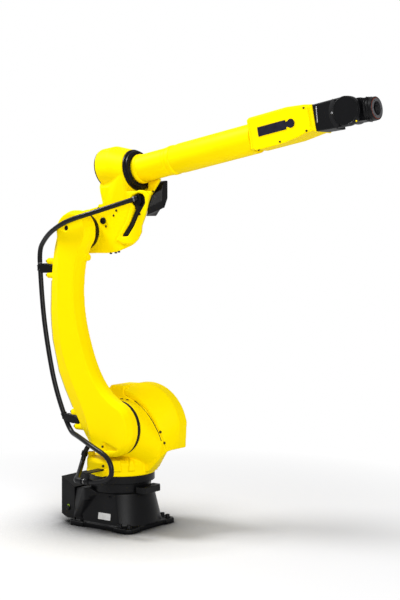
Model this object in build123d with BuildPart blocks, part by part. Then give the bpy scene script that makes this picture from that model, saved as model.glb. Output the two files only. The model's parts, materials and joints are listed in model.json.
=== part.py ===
# Industrial robot arm with six turning joints, built in its working pose.
# Millimetres, +Z up, +X the way the arm points, origin on the floor under the first axis.
import os
from math import atan, cos, pi, radians, sin, tan
from build123d import *

os.makedirs("parts", exist_ok=True)

# Skeleton of the arm: distances between the turning axes and their angles in this pose
shoulder_x = 75.0
shoulder_z = 425.0
lower_arm_length = 840.0
lower_arm_lean = 14.1
elbow_rise = 215.0
forearm_length = 1340.0
forearm_pitch = 10.75
wrist_bend = -5.3
flange_reach = 100.0

# Gap between two faces that are bolted together, and between a shaft and its bore
face_gap = 0.3

# Base
foot_front = 176.0
foot_rear = -164.0
foot_half_width = 158.0
foot_thickness = 20.0
foot_notch = 10.0
foot_middle = (foot_front + foot_rear) / 2.0
foot_bolt_radius = 9.0
inner_bolts_x = 212.0
inner_bolts_y = 282.0
outer_bolts_x = 288.0
outer_bolts_y = 256.0
base_top = 150.0
base_low_radius = 172.0
base_top_radius = 140.0
base_low_half_width = 138.0
base_top_half_width = 121.0
base_back = -150.0
lifting_eye = (-74.0, -130.0)
ring_low_radius = 128.0
ring_high_radius = 143.0
ring_bore_radius = 96.0
ring_step = 190.0
ring_top = 221.5

# Connector box
box_rear = -226.0
box_half_width = 128.0
box_rear_top = 191.0
box_front_top = 152.0
lid_thickness = 3.2

# Turning column
drum_radius = 145.0
drum_top = 288.0
column_hub_face = -98.0
column_near_face = -20.0
column_far_face = 104.0
column_hub_radius = 112.0
column_bore = 52.0

# Lower arm
arm_inner_face = -118.0
arm_waist_face = -150.0
arm_outer_face = -180.0
arm_hub_radius = 116.0
arm_tip_radius = 91.0

# Elbow
elbow_hub_face = -82.0
elbow_hub_radius = 82.0
elbow_drum_radius = 94.0
elbow_near_face = -80.0
elbow_far_face = 80.0
lobe_foot_face = -68.0
lobe_rim_face = -104.0
slot_floor_face = -72.0

# Forearm and wrist
roll_ring_back = 254.0
roll_ring_front = 279.0
roll_ring_radius = 84.0
roll_spigot_radius = 52.0
roll_spigot_back = 212.0
rear_tube_radius = 58.5
front_tube_radius = 61.5
tube_bore = 45.0
collar_start = 456.0
collar_end = 478.0
front_tube_start = 506.0
housing_start = forearm_length - 452.0
housing_end = forearm_length - 144.0
housing_half_width = 62.0
side_cover_thickness = 5.0
yoke_half_width = 60.0
yoke_gap_half = 36.0
yoke_arm_radius = 57.0
trunnion_radius = 30.0
wrist_half_width = 33.0
wrist_bore_radius = 25.0
nose_radius = 44.0
nose_seat = 78.0
flange_radius = 41.0
flange_spigot_radius = 36.0
flange_bore_radius = 27.0
flange_bolt_circle = 64.0
flange_bolt_radius = 2.5
flange_thickness = 7.0

# Hoses
hose_radius = 10.5
clip_bore = hose_radius + face_gap
clip_line = -133.0
loop_line = -240.0
loop_height = 214.0

arm_back = radians(lower_arm_lean)
pitch = radians(forearm_pitch)
bend = radians(forearm_pitch + wrist_bend)
elbow_x = shoulder_x - lower_arm_length * sin(arm_back)
elbow_z = shoulder_z + lower_arm_length * cos(arm_back)
roll_x = elbow_x - elbow_rise * sin(pitch)
roll_z = elbow_z + elbow_rise * cos(pitch)
wrist_x = roll_x + forearm_length * cos(pitch)
wrist_z = roll_z + forearm_length * sin(pitch)

# The outlines and hose routes below are drawn for these two lengths, and stretch with them
drawn_arm_length = 840.0
drawn_elbow_rise = 215.0
drawn_elbow_z = shoulder_z + drawn_arm_length * cos(arm_back)
drawn_roll_z = drawn_elbow_z + drawn_elbow_rise * cos(pitch)


def grown(*point):
    height = point[-1]
    arm_share = min(1.0, max(0.0, (height - shoulder_z) / (drawn_elbow_z - shoulder_z)))
    rise_share = min(1.0, max(0.0, (height - drawn_elbow_z) / (drawn_roll_z - drawn_elbow_z)))
    arm_growth = arm_share * (lower_arm_length - drawn_arm_length)
    rise_growth = rise_share * (elbow_rise - drawn_elbow_rise)
    x = point[0] - arm_growth * sin(arm_back) - rise_growth * sin(pitch)
    z = height + arm_growth * cos(arm_back) + rise_growth * cos(pitch)
    return (x, *point[1:-1], z)


def all_grown(points):
    return [grown(*point) for point in points]


def side_plane(y):
    return Plane(origin=(0, y, 0), x_dir=(1, 0, 0), z_dir=(0, -1, 0))


def roll_side_plane(y):
    return Plane(origin=(roll_x, y, roll_z), x_dir=(cos(pitch), 0, sin(pitch)), z_dir=(0, -1, 0))


def roll_cross_plane(along):
    x = roll_x + along * cos(pitch)
    z = roll_z + along * sin(pitch)
    return Plane(origin=(x, 0, z), x_dir=(0, 1, 0), z_dir=(cos(pitch), 0, sin(pitch)))


def wrist_side_plane(y):
    return Plane(origin=(wrist_x, y, wrist_z), x_dir=(cos(bend), 0, sin(bend)), z_dir=(0, -1, 0))


def wrist_cross_plane(along):
    x = wrist_x + along * cos(bend)
    z = wrist_z + along * sin(bend)
    return Plane(origin=(x, 0, z), x_dir=(0, 1, 0), z_dir=(cos(bend), 0, sin(bend)))


def run_plane(start, end):
    return Plane(origin=start, z_dir=Vector(*end) - Vector(*start))


def shifted(points, dx, dz):
    return [(x + dx, z + dz) for x, z in points]


def keep(part, label):
    part.part.label = label
    export_step(part.part, f"parts/{label}.step")
    print(label, round(part.part.volume / 1000.0, 1), "cm3", len(part.part.solids()), "solid")


def corner_radii(points):
    radii = []
    for before, here, after in zip(points, points[1:], points[2:]):
        run_in = Vector(*here) - Vector(*before)
        run_out = Vector(*after) - Vector(*here)
        turn = radians(run_in.get_angle(run_out))
        radii.append(0.45 * min(run_in.length, run_out.length) / tan(turn / 2.0))
    return radii


def hose(points, label):
    radii = corner_radii(points)
    with BuildPart() as tube:
        with BuildLine() as route:
            if radii:
                FilletPolyline(*points, radius=radii)
            else:
                Line(*points)
        path = route.wires()[0]
        with BuildSketch(Plane(origin=path @ 0, z_dir=path % 0)):
            Circle(hose_radius)
        sweep(path=path)
    expected = pi * hose_radius ** 2 * path.length
    print(label, "length", round(path.length), "bends", [round(r) for r in radii])
    print(label, "volume ratio", round(tube.part.volume / expected, 4))
    keep(tube, label)


# Base casting: foot plate with bolted corners under a tapering body with two flat sides
with BuildPart() as base_casting:
    with BuildSketch(Plane.XY):
        with Locations((foot_middle, 0)):
            Rectangle(foot_front - foot_rear, 2.0 * foot_half_width)
    extrude(amount=foot_thickness)
    chamfer(base_casting.edges().filter_by(Axis.Z), length=18.0)
    with BuildSketch(Plane.XY):
        with Locations((foot_middle, foot_half_width), (foot_middle, -foot_half_width)):
            Rectangle(168.0, 2.0 * foot_notch)
        with Locations((foot_front, 0)):
            Rectangle(2.0 * foot_notch, 176.0)
    extrude(amount=foot_thickness, mode=Mode.SUBTRACT)
    low_arc_x = (base_low_radius ** 2 - base_low_half_width ** 2) ** 0.5
    high_arc_x = (base_top_radius ** 2 - base_top_half_width ** 2) ** 0.5
    with BuildSketch(Plane.XY.offset(foot_thickness)):
        with BuildLine():
            Line((low_arc_x, -base_low_half_width), (base_back, -base_low_half_width))
            Line((base_back, -base_low_half_width), (base_back, base_low_half_width))
            Line((base_back, base_low_half_width), (low_arc_x, base_low_half_width))
            ThreePointArc((low_arc_x, base_low_half_width), (base_low_radius, 0), (low_arc_x, -base_low_half_width))
        make_face()
    with BuildSketch(Plane.XY.offset(base_top)):
        with BuildLine():
            Line((high_arc_x, -base_top_half_width), (base_back, -base_top_half_width))
            Line((base_back, -base_top_half_width), (base_back, base_top_half_width))
            Line((base_back, base_top_half_width), (high_arc_x, base_top_half_width))
            ThreePointArc((high_arc_x, base_top_half_width), (base_top_radius, 0), (high_arc_x, -base_top_half_width))
        make_face()
    loft(ruled=True)
    with BuildSketch(Plane.XY.offset(foot_thickness)):
        with Locations(lifting_eye):
            Circle(20.0)
    extrude(amount=base_top + 16.0 - foot_thickness)
    with BuildSketch(Plane.XY.offset(base_top + 16.0)):
        with Locations(lifting_eye):
            Circle(11.0)
    extrude(amount=-30.0, mode=Mode.SUBTRACT)
    with BuildSketch(Plane.XY.offset(base_top)):
        Circle(ring_bore_radius)
    extrude(amount=-base_top + 24.0, mode=Mode.SUBTRACT)
    with Locations((foot_middle, 0, foot_thickness)):
        with GridLocations(inner_bolts_x, inner_bolts_y, 2, 2):
            Hole(radius=foot_bolt_radius, depth=foot_thickness)
        with GridLocations(outer_bolts_x, outer_bolts_y, 2, 2):
            Hole(radius=foot_bolt_radius, depth=foot_thickness)
keep(base_casting, "base_casting")

# Two-step black ring that carries the turning column
with BuildPart() as base_ring:
    with BuildSketch(Plane.XZ):
        with BuildLine():
            Polyline(
                (ring_bore_radius, base_top + face_gap),
                (ring_low_radius, base_top + face_gap),
                (ring_low_radius, ring_step - 3.0),
                (ring_low_radius + 3.0, ring_step),
                (ring_high_radius - 1.5, ring_step),
                (ring_high_radius, ring_step + 1.5),
                (ring_high_radius, ring_top),
                (ring_bore_radius, ring_top),
                close=True,
            )
        make_face()
    revolve(axis=Axis.Z)
keep(base_ring, "base_ring")

# Stop block on the front of the base, under the overhanging ring
with BuildPart() as stop_block:
    with BuildSketch(Plane.XY.offset(base_top + face_gap)):
        with Locations((152.0, 0)):
            Rectangle(46.0, 116.0)
        Circle(ring_low_radius + face_gap, mode=Mode.SUBTRACT)
    extrude(amount=26.0)
    chamfer(stop_block.faces().sort_by(Axis.X)[-1].edges().filter_by(Axis.Z), length=11.0)
    chamfer(stop_block.faces().sort_by(Axis.Z)[-1].edges().sort_by(Axis.X)[-1], length=3.0)
keep(stop_block, "stop_block")

# Connector box behind the base with a sloping top and its lid
with BuildPart() as connector_box:
    with BuildSketch(side_plane(box_half_width)):
        with BuildLine():
            Polyline(
                (box_rear, box_rear_top),
                (box_rear, 36.0),
                (box_rear + 32.0, foot_thickness + 0.6),
                (base_back - face_gap, foot_thickness + 0.6),
                (base_back - face_gap, box_front_top),
                close=True,
            )
        make_face()
    extrude(amount=2.0 * box_half_width)
    chamfer(connector_box.edges().filter_by(Axis.Z), length=2.0)
keep(connector_box, "connector_box")

with BuildPart() as connector_box_lid:
    with BuildSketch(side_plane(box_half_width)):
        with BuildLine():
            Polyline(
                (box_rear, box_rear_top + face_gap),
                (base_back - face_gap, box_front_top + face_gap),
                (base_back - face_gap, box_front_top + face_gap + lid_thickness),
                (box_rear, box_rear_top + face_gap + lid_thickness),
                close=True,
            )
        make_face()
    extrude(amount=2.0 * box_half_width)
    chamfer(connector_box_lid.faces().sort_by(Axis.Z)[-1].edges(), length=1.2)
keep(connector_box_lid, "connector_box_lid")

# Round service socket on the near side of the connector box
with BuildPart() as service_socket:
    with BuildSketch(side_plane(-box_half_width - face_gap)):
        with Locations((-186.0, 62.0)):
            Circle(10.0)
    extrude(amount=7.0)
    chamfer(service_socket.faces().sort_by(Axis.Y)[0].edges(), length=1.5)
keep(service_socket, "service_socket")

# Blank plate on the sloping near side of the base
panel_lean = atan((base_low_half_width - base_top_half_width) / (base_top - foot_thickness))
panel_y = -base_low_half_width + (53.0 - foot_thickness) * tan(panel_lean)
panel_normal = (0, -cos(panel_lean), sin(panel_lean))
with BuildPart() as base_plate:
    with BuildSketch(Plane(origin=(22.0, panel_y, 53.0), x_dir=(1, 0, 0), z_dir=panel_normal).offset(face_gap)):
        RectangleRounded(66.0, 27.0, 2.0)
    extrude(amount=1.5)
keep(base_plate, "base_plate")

# Hose route, from the outlet in the column to the cable slot in the elbow
outlet_route = [(-58.0, -212.0, loop_height + 5.0), (-136.0, -103.0, 238.0), (-106.0, -95.0, 345.0), (-52.0, -46.0, 392.0)]
loop_route = [
    (-8.0, loop_line, loop_height),
    (150.0, loop_line, loop_height),
    (150.0, -236.0, 318.0),
    (20.0, -222.0, 362.0),
    (-85.0, -180.0, 384.0),
    (-171.3, clip_line, 389.3),
    (-204.3, clip_line, 455.9),
]
arm_route = [
    (-204.6, clip_line, 456.5),
    grown(-252.0, clip_line, 552.0),
    grown(-300.0, clip_line, 735.0),
    grown(-335.0, clip_line, 930.0),
    grown(-347.0, clip_line, 1102.0),
]
elbow_route = [
    grown(-347.05, clip_line, 1102.6),
    grown(-351.0, clip_line, 1158.0),
    grown(-300.0, -156.0, 1204.0),
    grown(-222.0, -191.0, 1245.0),
    grown(-120.0, -208.0, 1287.0),
    grown(20.0, -197.0, 1322.0),
    grown(174.0, -102.0, 1381.0),
]
slot_route = [grown(177.0, -86.0, 1351.0), grown(104.0, -83.0, 1220.0)]

# Turning column: drum, body, flared shoulder hub and the bosses on the drum, one casting
seam = [(262.0, 332.0), (240.0, 379.0), (205.0, 435.0), (150.0, 500.0), (95.0, 527.0), (30.0, 552.0)]
hub_flare = [
    (-75.0, 425.0),
    (-53.0, 495.0),
    (15.0, 536.0),
    (90.0, 523.0),
    (146.0, 494.0),
    (198.0, 432.0),
    (230.0, 378.0),
    (226.0, 325.0),
    (170.0, 276.0),
    (75.0, 262.0),
    (-10.0, 285.0),
    (-58.0, 345.0),
]
hub_angles = [180.0, 150.0, 118.0, 81.0, 44.0, 3.0, -17.0, -33.0, -57.0, -90.0, -121.0, -149.0]
hub_rim = [
    (shoulder_x + column_hub_radius * cos(radians(a)), shoulder_z + column_hub_radius * sin(radians(a)))
    for a in hub_angles
]
outlet_clip_angle = -140.5
with BuildPart() as column_casting:
    with BuildSketch(Plane.XZ):
        with BuildLine():
            Polyline(
                (column_bore, ring_top + 0.5),
                (drum_radius, ring_top + 0.5),
                (drum_radius + 2.0, ring_top + 3.0),
                (drum_radius + 2.0, ring_top + 12.0),
                (drum_radius, ring_top + 16.0),
                (drum_radius, drum_top - 12.0),
                (drum_radius - 12.0, drum_top),
                (column_bore, drum_top),
                close=True,
            )
        make_face()
    revolve(axis=Axis.Z)
    with BuildSketch(side_plane(column_far_face)):
        with BuildLine():
            Polyline((-92.0, 270.0), (-92.0, 520.0), (-40.0, 586.0), (29.7, 588.0))
            Polyline((29.7, 588.0), *reversed(shifted(seam, -0.3, -0.3)))
            Polyline((261.7, 331.7), (222.0, 296.0), (164.0, 238.0), (-60.0, 238.0), (-92.0, 270.0))
        make_face()
    extrude(amount=column_far_face - column_near_face)
    with BuildSketch(side_plane(column_near_face + 0.5)):
        with BuildLine():
            Spline(*hub_flare, periodic=True)
        make_face()
    with BuildSketch(side_plane(column_hub_face)):
        with BuildLine():
            Spline(*hub_rim, periodic=True)
        make_face()
    loft()
    with BuildSketch(Plane.XY.offset(247.0)):
        with PolarLocations(138.0, 1, start_angle=-57.7):
            Rectangle(44.0, 46.0)
        with PolarLocations(137.0, 1, start_angle=-33.0):
            Rectangle(40.0, 28.0)
    extrude(amount=44.0, taper=8.0)
    with BuildSketch(Plane.XY.offset(ring_top + 4.0)):
        with Locations((22.0, -150.0)):
            Rectangle(44.0, 44.0)
    extrude(amount=24.0)
    with BuildSketch(Plane.XY.offset(262.0)):
        with PolarLocations(126.0, 1, start_angle=outlet_clip_angle):
            Rectangle(29.4, 20.0)
    extrude(amount=44.0)
    with BuildSketch(run_plane(outlet_route[2], outlet_route[3])):
        Circle(20.0)
    extrude(amount=120.0)
    with BuildSketch(run_plane(outlet_route[2], outlet_route[3])):
        Circle(40.0)
    extrude(amount=48.0, mode=Mode.SUBTRACT)
    with BuildSketch(run_plane(outlet_route[2], outlet_route[3])):
        Circle(clip_bore)
    extrude(amount=87.0, mode=Mode.SUBTRACT)
    with BuildSketch(Plane.XY.offset(ring_top)):
        Circle(column_bore)
    extrude(amount=120.0, mode=Mode.SUBTRACT)
keep(column_casting, "column_casting")

# Domed cover over the column's front: a narrow near edge along the seam, a deep far side
with BuildPart() as shoulder_cover:
    with BuildSketch(side_plane(column_near_face + 0.8)):
        with BuildLine():
            ThreePointArc((30.0, 572.0), (152.0, 514.0), (238.0, 402.0))
            Polyline((238.0, 402.0), (268.0, 336.0), *seam, (30.0, 572.0))
        make_face()
    with BuildSketch(side_plane(52.0)):
        with BuildLine():
            ThreePointArc((30.0, 590.0), (206.0, 552.0), (274.0, 440.0))
            Polyline((274.0, 440.0), (268.0, 336.0), *seam, (30.0, 590.0))
        make_face()
    loft(ruled=True)
    with BuildSketch(side_plane(column_far_face)):
        with BuildLine():
            ThreePointArc((30.0, 590.0), (206.0, 552.0), (274.0, 440.0))
            Polyline((274.0, 440.0), (268.0, 336.0), *seam, (30.0, 590.0))
        make_face()
    extrude(amount=column_far_face - 52.0)
keep(shoulder_cover, "shoulder_cover")

# Black seal ring in the shoulder gap
with BuildPart() as shoulder_seal:
    with BuildSketch(side_plane(column_hub_face - face_gap)):
        with Locations((shoulder_x, shoulder_z)):
            Circle(column_hub_radius - 6.0)
    extrude(amount=column_hub_face - arm_inner_face - 2.0 * face_gap)
keep(shoulder_seal, "shoulder_seal")

hose(outlet_route, "hose_outlet")
hose(loop_route, "hose_loop")
hose(arm_route, "hose_arm_run")
hose(elbow_route, "hose_elbow_span")
hose(slot_route, "hose_slot_run")

# Rigid fitting that turns the outlet hose into the loop
fitting_end = (-57.8, -212.25, loop_height + 4.95)
with BuildPart() as hose_fitting:
    with BuildLine() as fitting_path:
        FilletPolyline((-8.3, loop_line, loop_height), (-38.0, loop_line, loop_height), fitting_end, radius=15.0)
    fitting_wire = fitting_path.wires()[0]
    with BuildSketch(Plane(origin=fitting_wire @ 0, z_dir=fitting_wire % 0)):
        Circle(13.0)
    sweep(path=fitting_wire)
keep(hose_fitting, "hose_fitting")

# Clip that holds the outlet hose to the lug on the drum
outlet_run = Vector(*outlet_route[2]) - Vector(*outlet_route[1])
outlet_clip_point = Vector(*outlet_route[1]) + outlet_run * 0.5467
toward_axis = (-cos(radians(outlet_clip_angle)), -sin(radians(outlet_clip_angle)), 0)
with BuildPart() as outlet_hose_clip:
    with BuildSketch(Plane(origin=outlet_clip_point, x_dir=toward_axis, z_dir=outlet_run)):
        Circle(14.0)
        with Locations((7.0, 0)):
            Rectangle(14.0, 16.0)
        Circle(clip_bore, mode=Mode.SUBTRACT)
    extrude(amount=9.0, both=True)
    with BuildSketch(Plane.XY.offset(262.0)):
        with PolarLocations(126.0, 1, start_angle=outlet_clip_angle):
            Rectangle(29.4 + 2.0 * face_gap, 40.0)
    extrude(amount=60.0, mode=Mode.SUBTRACT)
keep(outlet_hose_clip, "outlet_hose_clip")

# Bracket from the drum out to the loop, and the clip that grips the hose
with BuildPart() as hose_bracket:
    with BuildSketch(Plane.XY.offset(ring_top + 28.0 + face_gap)):
        with Locations((21.0, -206.0)):
            Rectangle(36.0, 108.0)
    extrude(amount=5.0)
    chamfer(hose_bracket.edges().filter_by(Axis.Z), length=5.0)
keep(hose_bracket, "hose_bracket")

with BuildPart() as column_hose_clip:
    with BuildSketch(Plane.XY.offset(ring_top + 28.0)):
        with Locations((21.0, loop_line)):
            Rectangle(24.0, 34.0)
    extrude(amount=loop_height - clip_bore - 3.0 - ring_top - 28.0)
    chamfer(column_hose_clip.faces().sort_by(Axis.Z)[0].edges().filter_by(Axis.X), length=4.0)
    with BuildSketch(Plane.YZ):
        with Locations((loop_line, loop_height)):
            Circle(clip_bore)
    extrude(amount=60.0, mode=Mode.SUBTRACT)
keep(column_hose_clip, "column_hose_clip")


def arm_outline(rear, front, hub_radius, tip_radius):
    hub_front = (shoulder_x + hub_radius * cos(radians(62.0)), shoulder_z + hub_radius * sin(radians(62.0)))
    hub_low = (shoulder_x + hub_radius * cos(radians(-46.0)), shoulder_z + hub_radius * sin(radians(-46.0)))
    hub_rear = (shoulder_x + hub_radius * cos(radians(206.0)), shoulder_z + hub_radius * sin(radians(206.0)))
    tip_front = (elbow_x + tip_radius * cos(radians(-28.0)), elbow_z + tip_radius * sin(radians(-28.0)))
    tip_top = (elbow_x + tip_radius * cos(radians(74.0)), elbow_z + tip_radius * sin(radians(74.0)))
    tip_rear = (elbow_x + tip_radius * cos(radians(176.0)), elbow_z + tip_radius * sin(radians(176.0)))
    ThreePointArc(hub_rear, hub_low, hub_front)
    Spline(hub_front, *all_grown(front), tip_front)
    ThreePointArc(tip_front, tip_top, tip_rear)
    Spline(tip_rear, *all_grown(rear), hub_rear)


rear_edge = [(-254.0, 1125.0), (-262.0, 1030.0), (-259.0, 880.0), (-240.0, 760.0), (-196.0, 640.0), (-122.0, 500.0)]
front_edge = [(15.0, 616.0), (-58.0, 760.0), (-95.0, 900.0), (-98.0, 1060.0), (-72.0, 1160.0)]
rear_fold = [(-199.0, 1125.0), (-203.0, 1030.0), (-200.0, 880.0), (-182.0, 760.0), (-138.0, 640.0), (-66.0, 510.0)]
front_fold = [(10.0, 606.0), (-66.0, 756.0), (-104.0, 900.0), (-107.0, 1060.0), (-84.0, 1155.0)]

# The upper hose clip sits on two bosses at this place of the arm's rear edge
upper_clip_x, upper_clip_z = grown(-302.0, 1082.0)
clip_boss_spacing = 60.0

# Lower arm: a curved beam whose outer face slopes back along the rear edge
with BuildPart() as lower_arm:
    with BuildSketch(side_plane(arm_inner_face)):
        with BuildLine():
            arm_outline(rear_edge, front_edge, arm_hub_radius, arm_tip_radius)
        make_face()
    extrude(amount=arm_inner_face - arm_waist_face)
    with BuildSketch(side_plane(arm_waist_face)):
        with BuildLine():
            arm_outline(rear_edge, front_edge, arm_hub_radius, arm_tip_radius)
        make_face()
    with BuildSketch(side_plane(arm_outer_face)):
        with BuildLine():
            arm_outline(rear_fold, front_fold, arm_hub_radius - 12.0, arm_tip_radius - 12.0)
        make_face()
    loft()
    with BuildSketch(Plane.YZ.offset(upper_clip_x)):
        with Locations((clip_line - 2.0, upper_clip_z)):
            with GridLocations(0, clip_boss_spacing, 1, 2):
                Circle(12.0)
    extrude(amount=70.0)
    with BuildSketch(Plane.YZ.offset(-150.0)):
        with Locations((clip_line - 2.0, 476.0)):
            Circle(12.0)
    extrude(amount=60.0)
    with BuildSketch(Plane.YZ.offset(-150.0)):
        with Locations((clip_line - 2.0, 420.0)):
            Circle(12.0)
    extrude(amount=112.0)
    with BuildSketch(side_plane(arm_inner_face)):
        with Locations(grown(-80.0, 1132.0)):
            Circle(16.0)
    extrude(amount=22.0)
    with BuildSketch(side_plane(arm_outer_face)):
        with Locations(grown(-158.0, 1256.0)):
            Circle(15.0)
    extrude(amount=-9.0, mode=Mode.SUBTRACT)
    with BuildSketch(side_plane(arm_outer_face)):
        with BuildLine():
            Polyline((56.0, 372.0), (138.0, 346.0), (62.0, 334.0), (46.0, 352.0), close=True)
        make_face()
    extrude(amount=-12.0, mode=Mode.SUBTRACT)
keep(lower_arm, "lower_arm")

# Cover strip along the rear of the lower arm, between the two hose clips
strip_inner = all_grown(
    [(-262.5, 1030.0), (-262.6, 955.0), (-259.6, 880.0), (-240.8, 760.0), (-196.8, 640.0), (-157.0, 566.0)]
)
strip_outer = all_grown(
    [(-173.0, 558.0), (-213.0, 634.0), (-257.0, 756.0), (-277.0, 878.0), (-281.0, 955.0), (-281.0, 1030.0)]
)
with BuildPart() as arm_rear_cover:
    with BuildSketch(side_plane(-122.0)):
        with BuildLine():
            Spline(*strip_inner)
            Line(strip_inner[-1], strip_outer[0])
            Spline(*strip_outer)
            Line(strip_outer[-1], strip_inner[0])
        make_face()
    extrude(amount=22.0)
    with BuildSketch(side_plane(arm_inner_face)):
        with BuildLine():
            arm_outline(shifted(rear_edge, -0.3, 0.0), front_edge, arm_hub_radius, arm_tip_radius)
        make_face()
    extrude(amount=40.0, mode=Mode.SUBTRACT)
keep(arm_rear_cover, "arm_rear_cover")

# Hose clips on the rear of the lower arm: a plate across two bosses with a saddle round the hose
with BuildPart() as upper_hose_clip:
    with BuildSketch(Plane.YZ.offset(upper_clip_x - face_gap)):
        with Locations((clip_line - 1.0, upper_clip_z)):
            RectangleRounded(26.0, clip_boss_spacing + 30.0, 8.0)
    extrude(amount=-7.0)
    with BuildSketch(Plane.YZ.offset(upper_clip_x - 7.0)):
        with Locations((clip_line, upper_clip_z)):
            Rectangle(26.0, 34.0)
    extrude(amount=-54.0)
    with BuildSketch(run_plane(arm_route[3], arm_route[4])):
        Circle(clip_bore)
    extrude(amount=240.0, mode=Mode.SUBTRACT)
keep(upper_hose_clip, "upper_hose_clip")

with BuildPart() as lower_hose_clip:
    with BuildSketch(Plane.YZ.offset(-150.0 - face_gap)):
        with Locations((clip_line - 1.0, 448.0)):
            RectangleRounded(26.0, 84.0, 8.0)
    extrude(amount=-7.0)
    with BuildSketch(side_plane(clip_line + 13.0)):
        with BuildLine():
            Polyline((-156.3, 438.0), (-156.3, 480.0), (-235.0, 480.0), (-214.0, 438.0), close=True)
        make_face()
    extrude(amount=26.0)
    with BuildSketch(run_plane(loop_route[5], arm_route[0])):
        Circle(clip_bore)
    extrude(amount=120.0, mode=Mode.SUBTRACT)
keep(lower_hose_clip, "lower_hose_clip")

# Black seal ring in the elbow gap
with BuildPart() as elbow_seal:
    with BuildSketch(side_plane(elbow_hub_face - face_gap)):
        with Locations((elbow_x, elbow_z)):
            Circle(elbow_hub_radius - 5.0)
    extrude(amount=elbow_hub_face - arm_inner_face - 2.0 * face_gap)
keep(elbow_seal, "elbow_seal")

# Outlines of the elbow body on its near and far faces, and of the raised lobe with the cable slot
body_near = [
    (-110.0, 1148.0),
    (-110.0, 1335.0),
    (-64.0, 1345.0),
    (-52.0, 1375.0),
    (-48.0, 1430.0),
    (80.0, 1430.0),
    (90.0, 1409.0),
    (233.0, 1409.0),
    (211.0, 1352.0),
    (203.0, 1315.0),
    (179.0, 1264.0),
    (177.0, 1240.0),
    (157.0, 1206.0),
    (127.0, 1184.0),
    (81.0, 1167.0),
    (45.0, 1155.0),
    (-7.0, 1149.0),
]
body_far = [
    (-150.0, 1152.0),
    (-150.0, 1335.0),
    (-64.0, 1345.0),
    (-52.0, 1375.0),
    (-48.0, 1430.0),
    (40.0, 1430.0),
    (50.0, 1409.0),
    (110.0, 1409.0),
    (84.0, 1352.0),
    (76.0, 1315.0),
    (52.0, 1264.0),
    (50.0, 1240.0),
    (30.0, 1206.0),
    (0.0, 1184.0),
    (-47.0, 1170.0),
    (-83.0, 1158.0),
    (-130.0, 1151.0),
]
lobe_rim = [
    (60.0, 1204.0),
    (96.0, 1190.0),
    (150.0, 1188.0),
    (176.0, 1208.0),
    (196.0, 1240.0),
    (197.0, 1266.0),
    (219.0, 1316.0),
    (229.0, 1352.0),
    (240.0, 1392.0),
    (222.0, 1408.0),
    (184.0, 1414.0),
    (140.0, 1402.0),
    (122.0, 1374.0),
    (138.0, 1344.0),
    (108.0, 1278.0),
]
lobe_front = range(2, 10)
lobe_foot = [(x - 24.0 if i in lobe_front else x - 8.0, z) for i, (x, z) in enumerate(lobe_rim)]
mouth_rim = [
    (84.0, 1220.0),
    (124.0, 1222.0),
    (157.0, 1265.0),
    (184.0, 1315.0),
    (216.0, 1358.0),
    (214.0, 1384.0),
    (202.0, 1397.0),
    (176.0, 1402.0),
    (146.0, 1390.0),
    (138.0, 1364.0),
    (156.0, 1344.0),
    (131.0, 1281.0),
]
mouth_front = range(1, 7)
mouth_floor = [(x - 14.0 if i in mouth_front else x, z) for i, (x, z) in enumerate(mouth_rim)]
ear = [
    (90.0, 1374.0),
    (112.0, 1376.0),
    (134.0, 1393.0),
    (172.0, 1440.0),
    (172.0, 1460.0),
    (129.0, 1460.0),
    (125.0, 1424.0),
    (104.0, 1408.0),
    (90.0, 1408.0),
]

motor_seat = [(20.0, 1330.0), (100.0, 1330.0), (100.0, 1436.0), (60.0, 1436.0), (20.0, 1400.0)]

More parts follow.
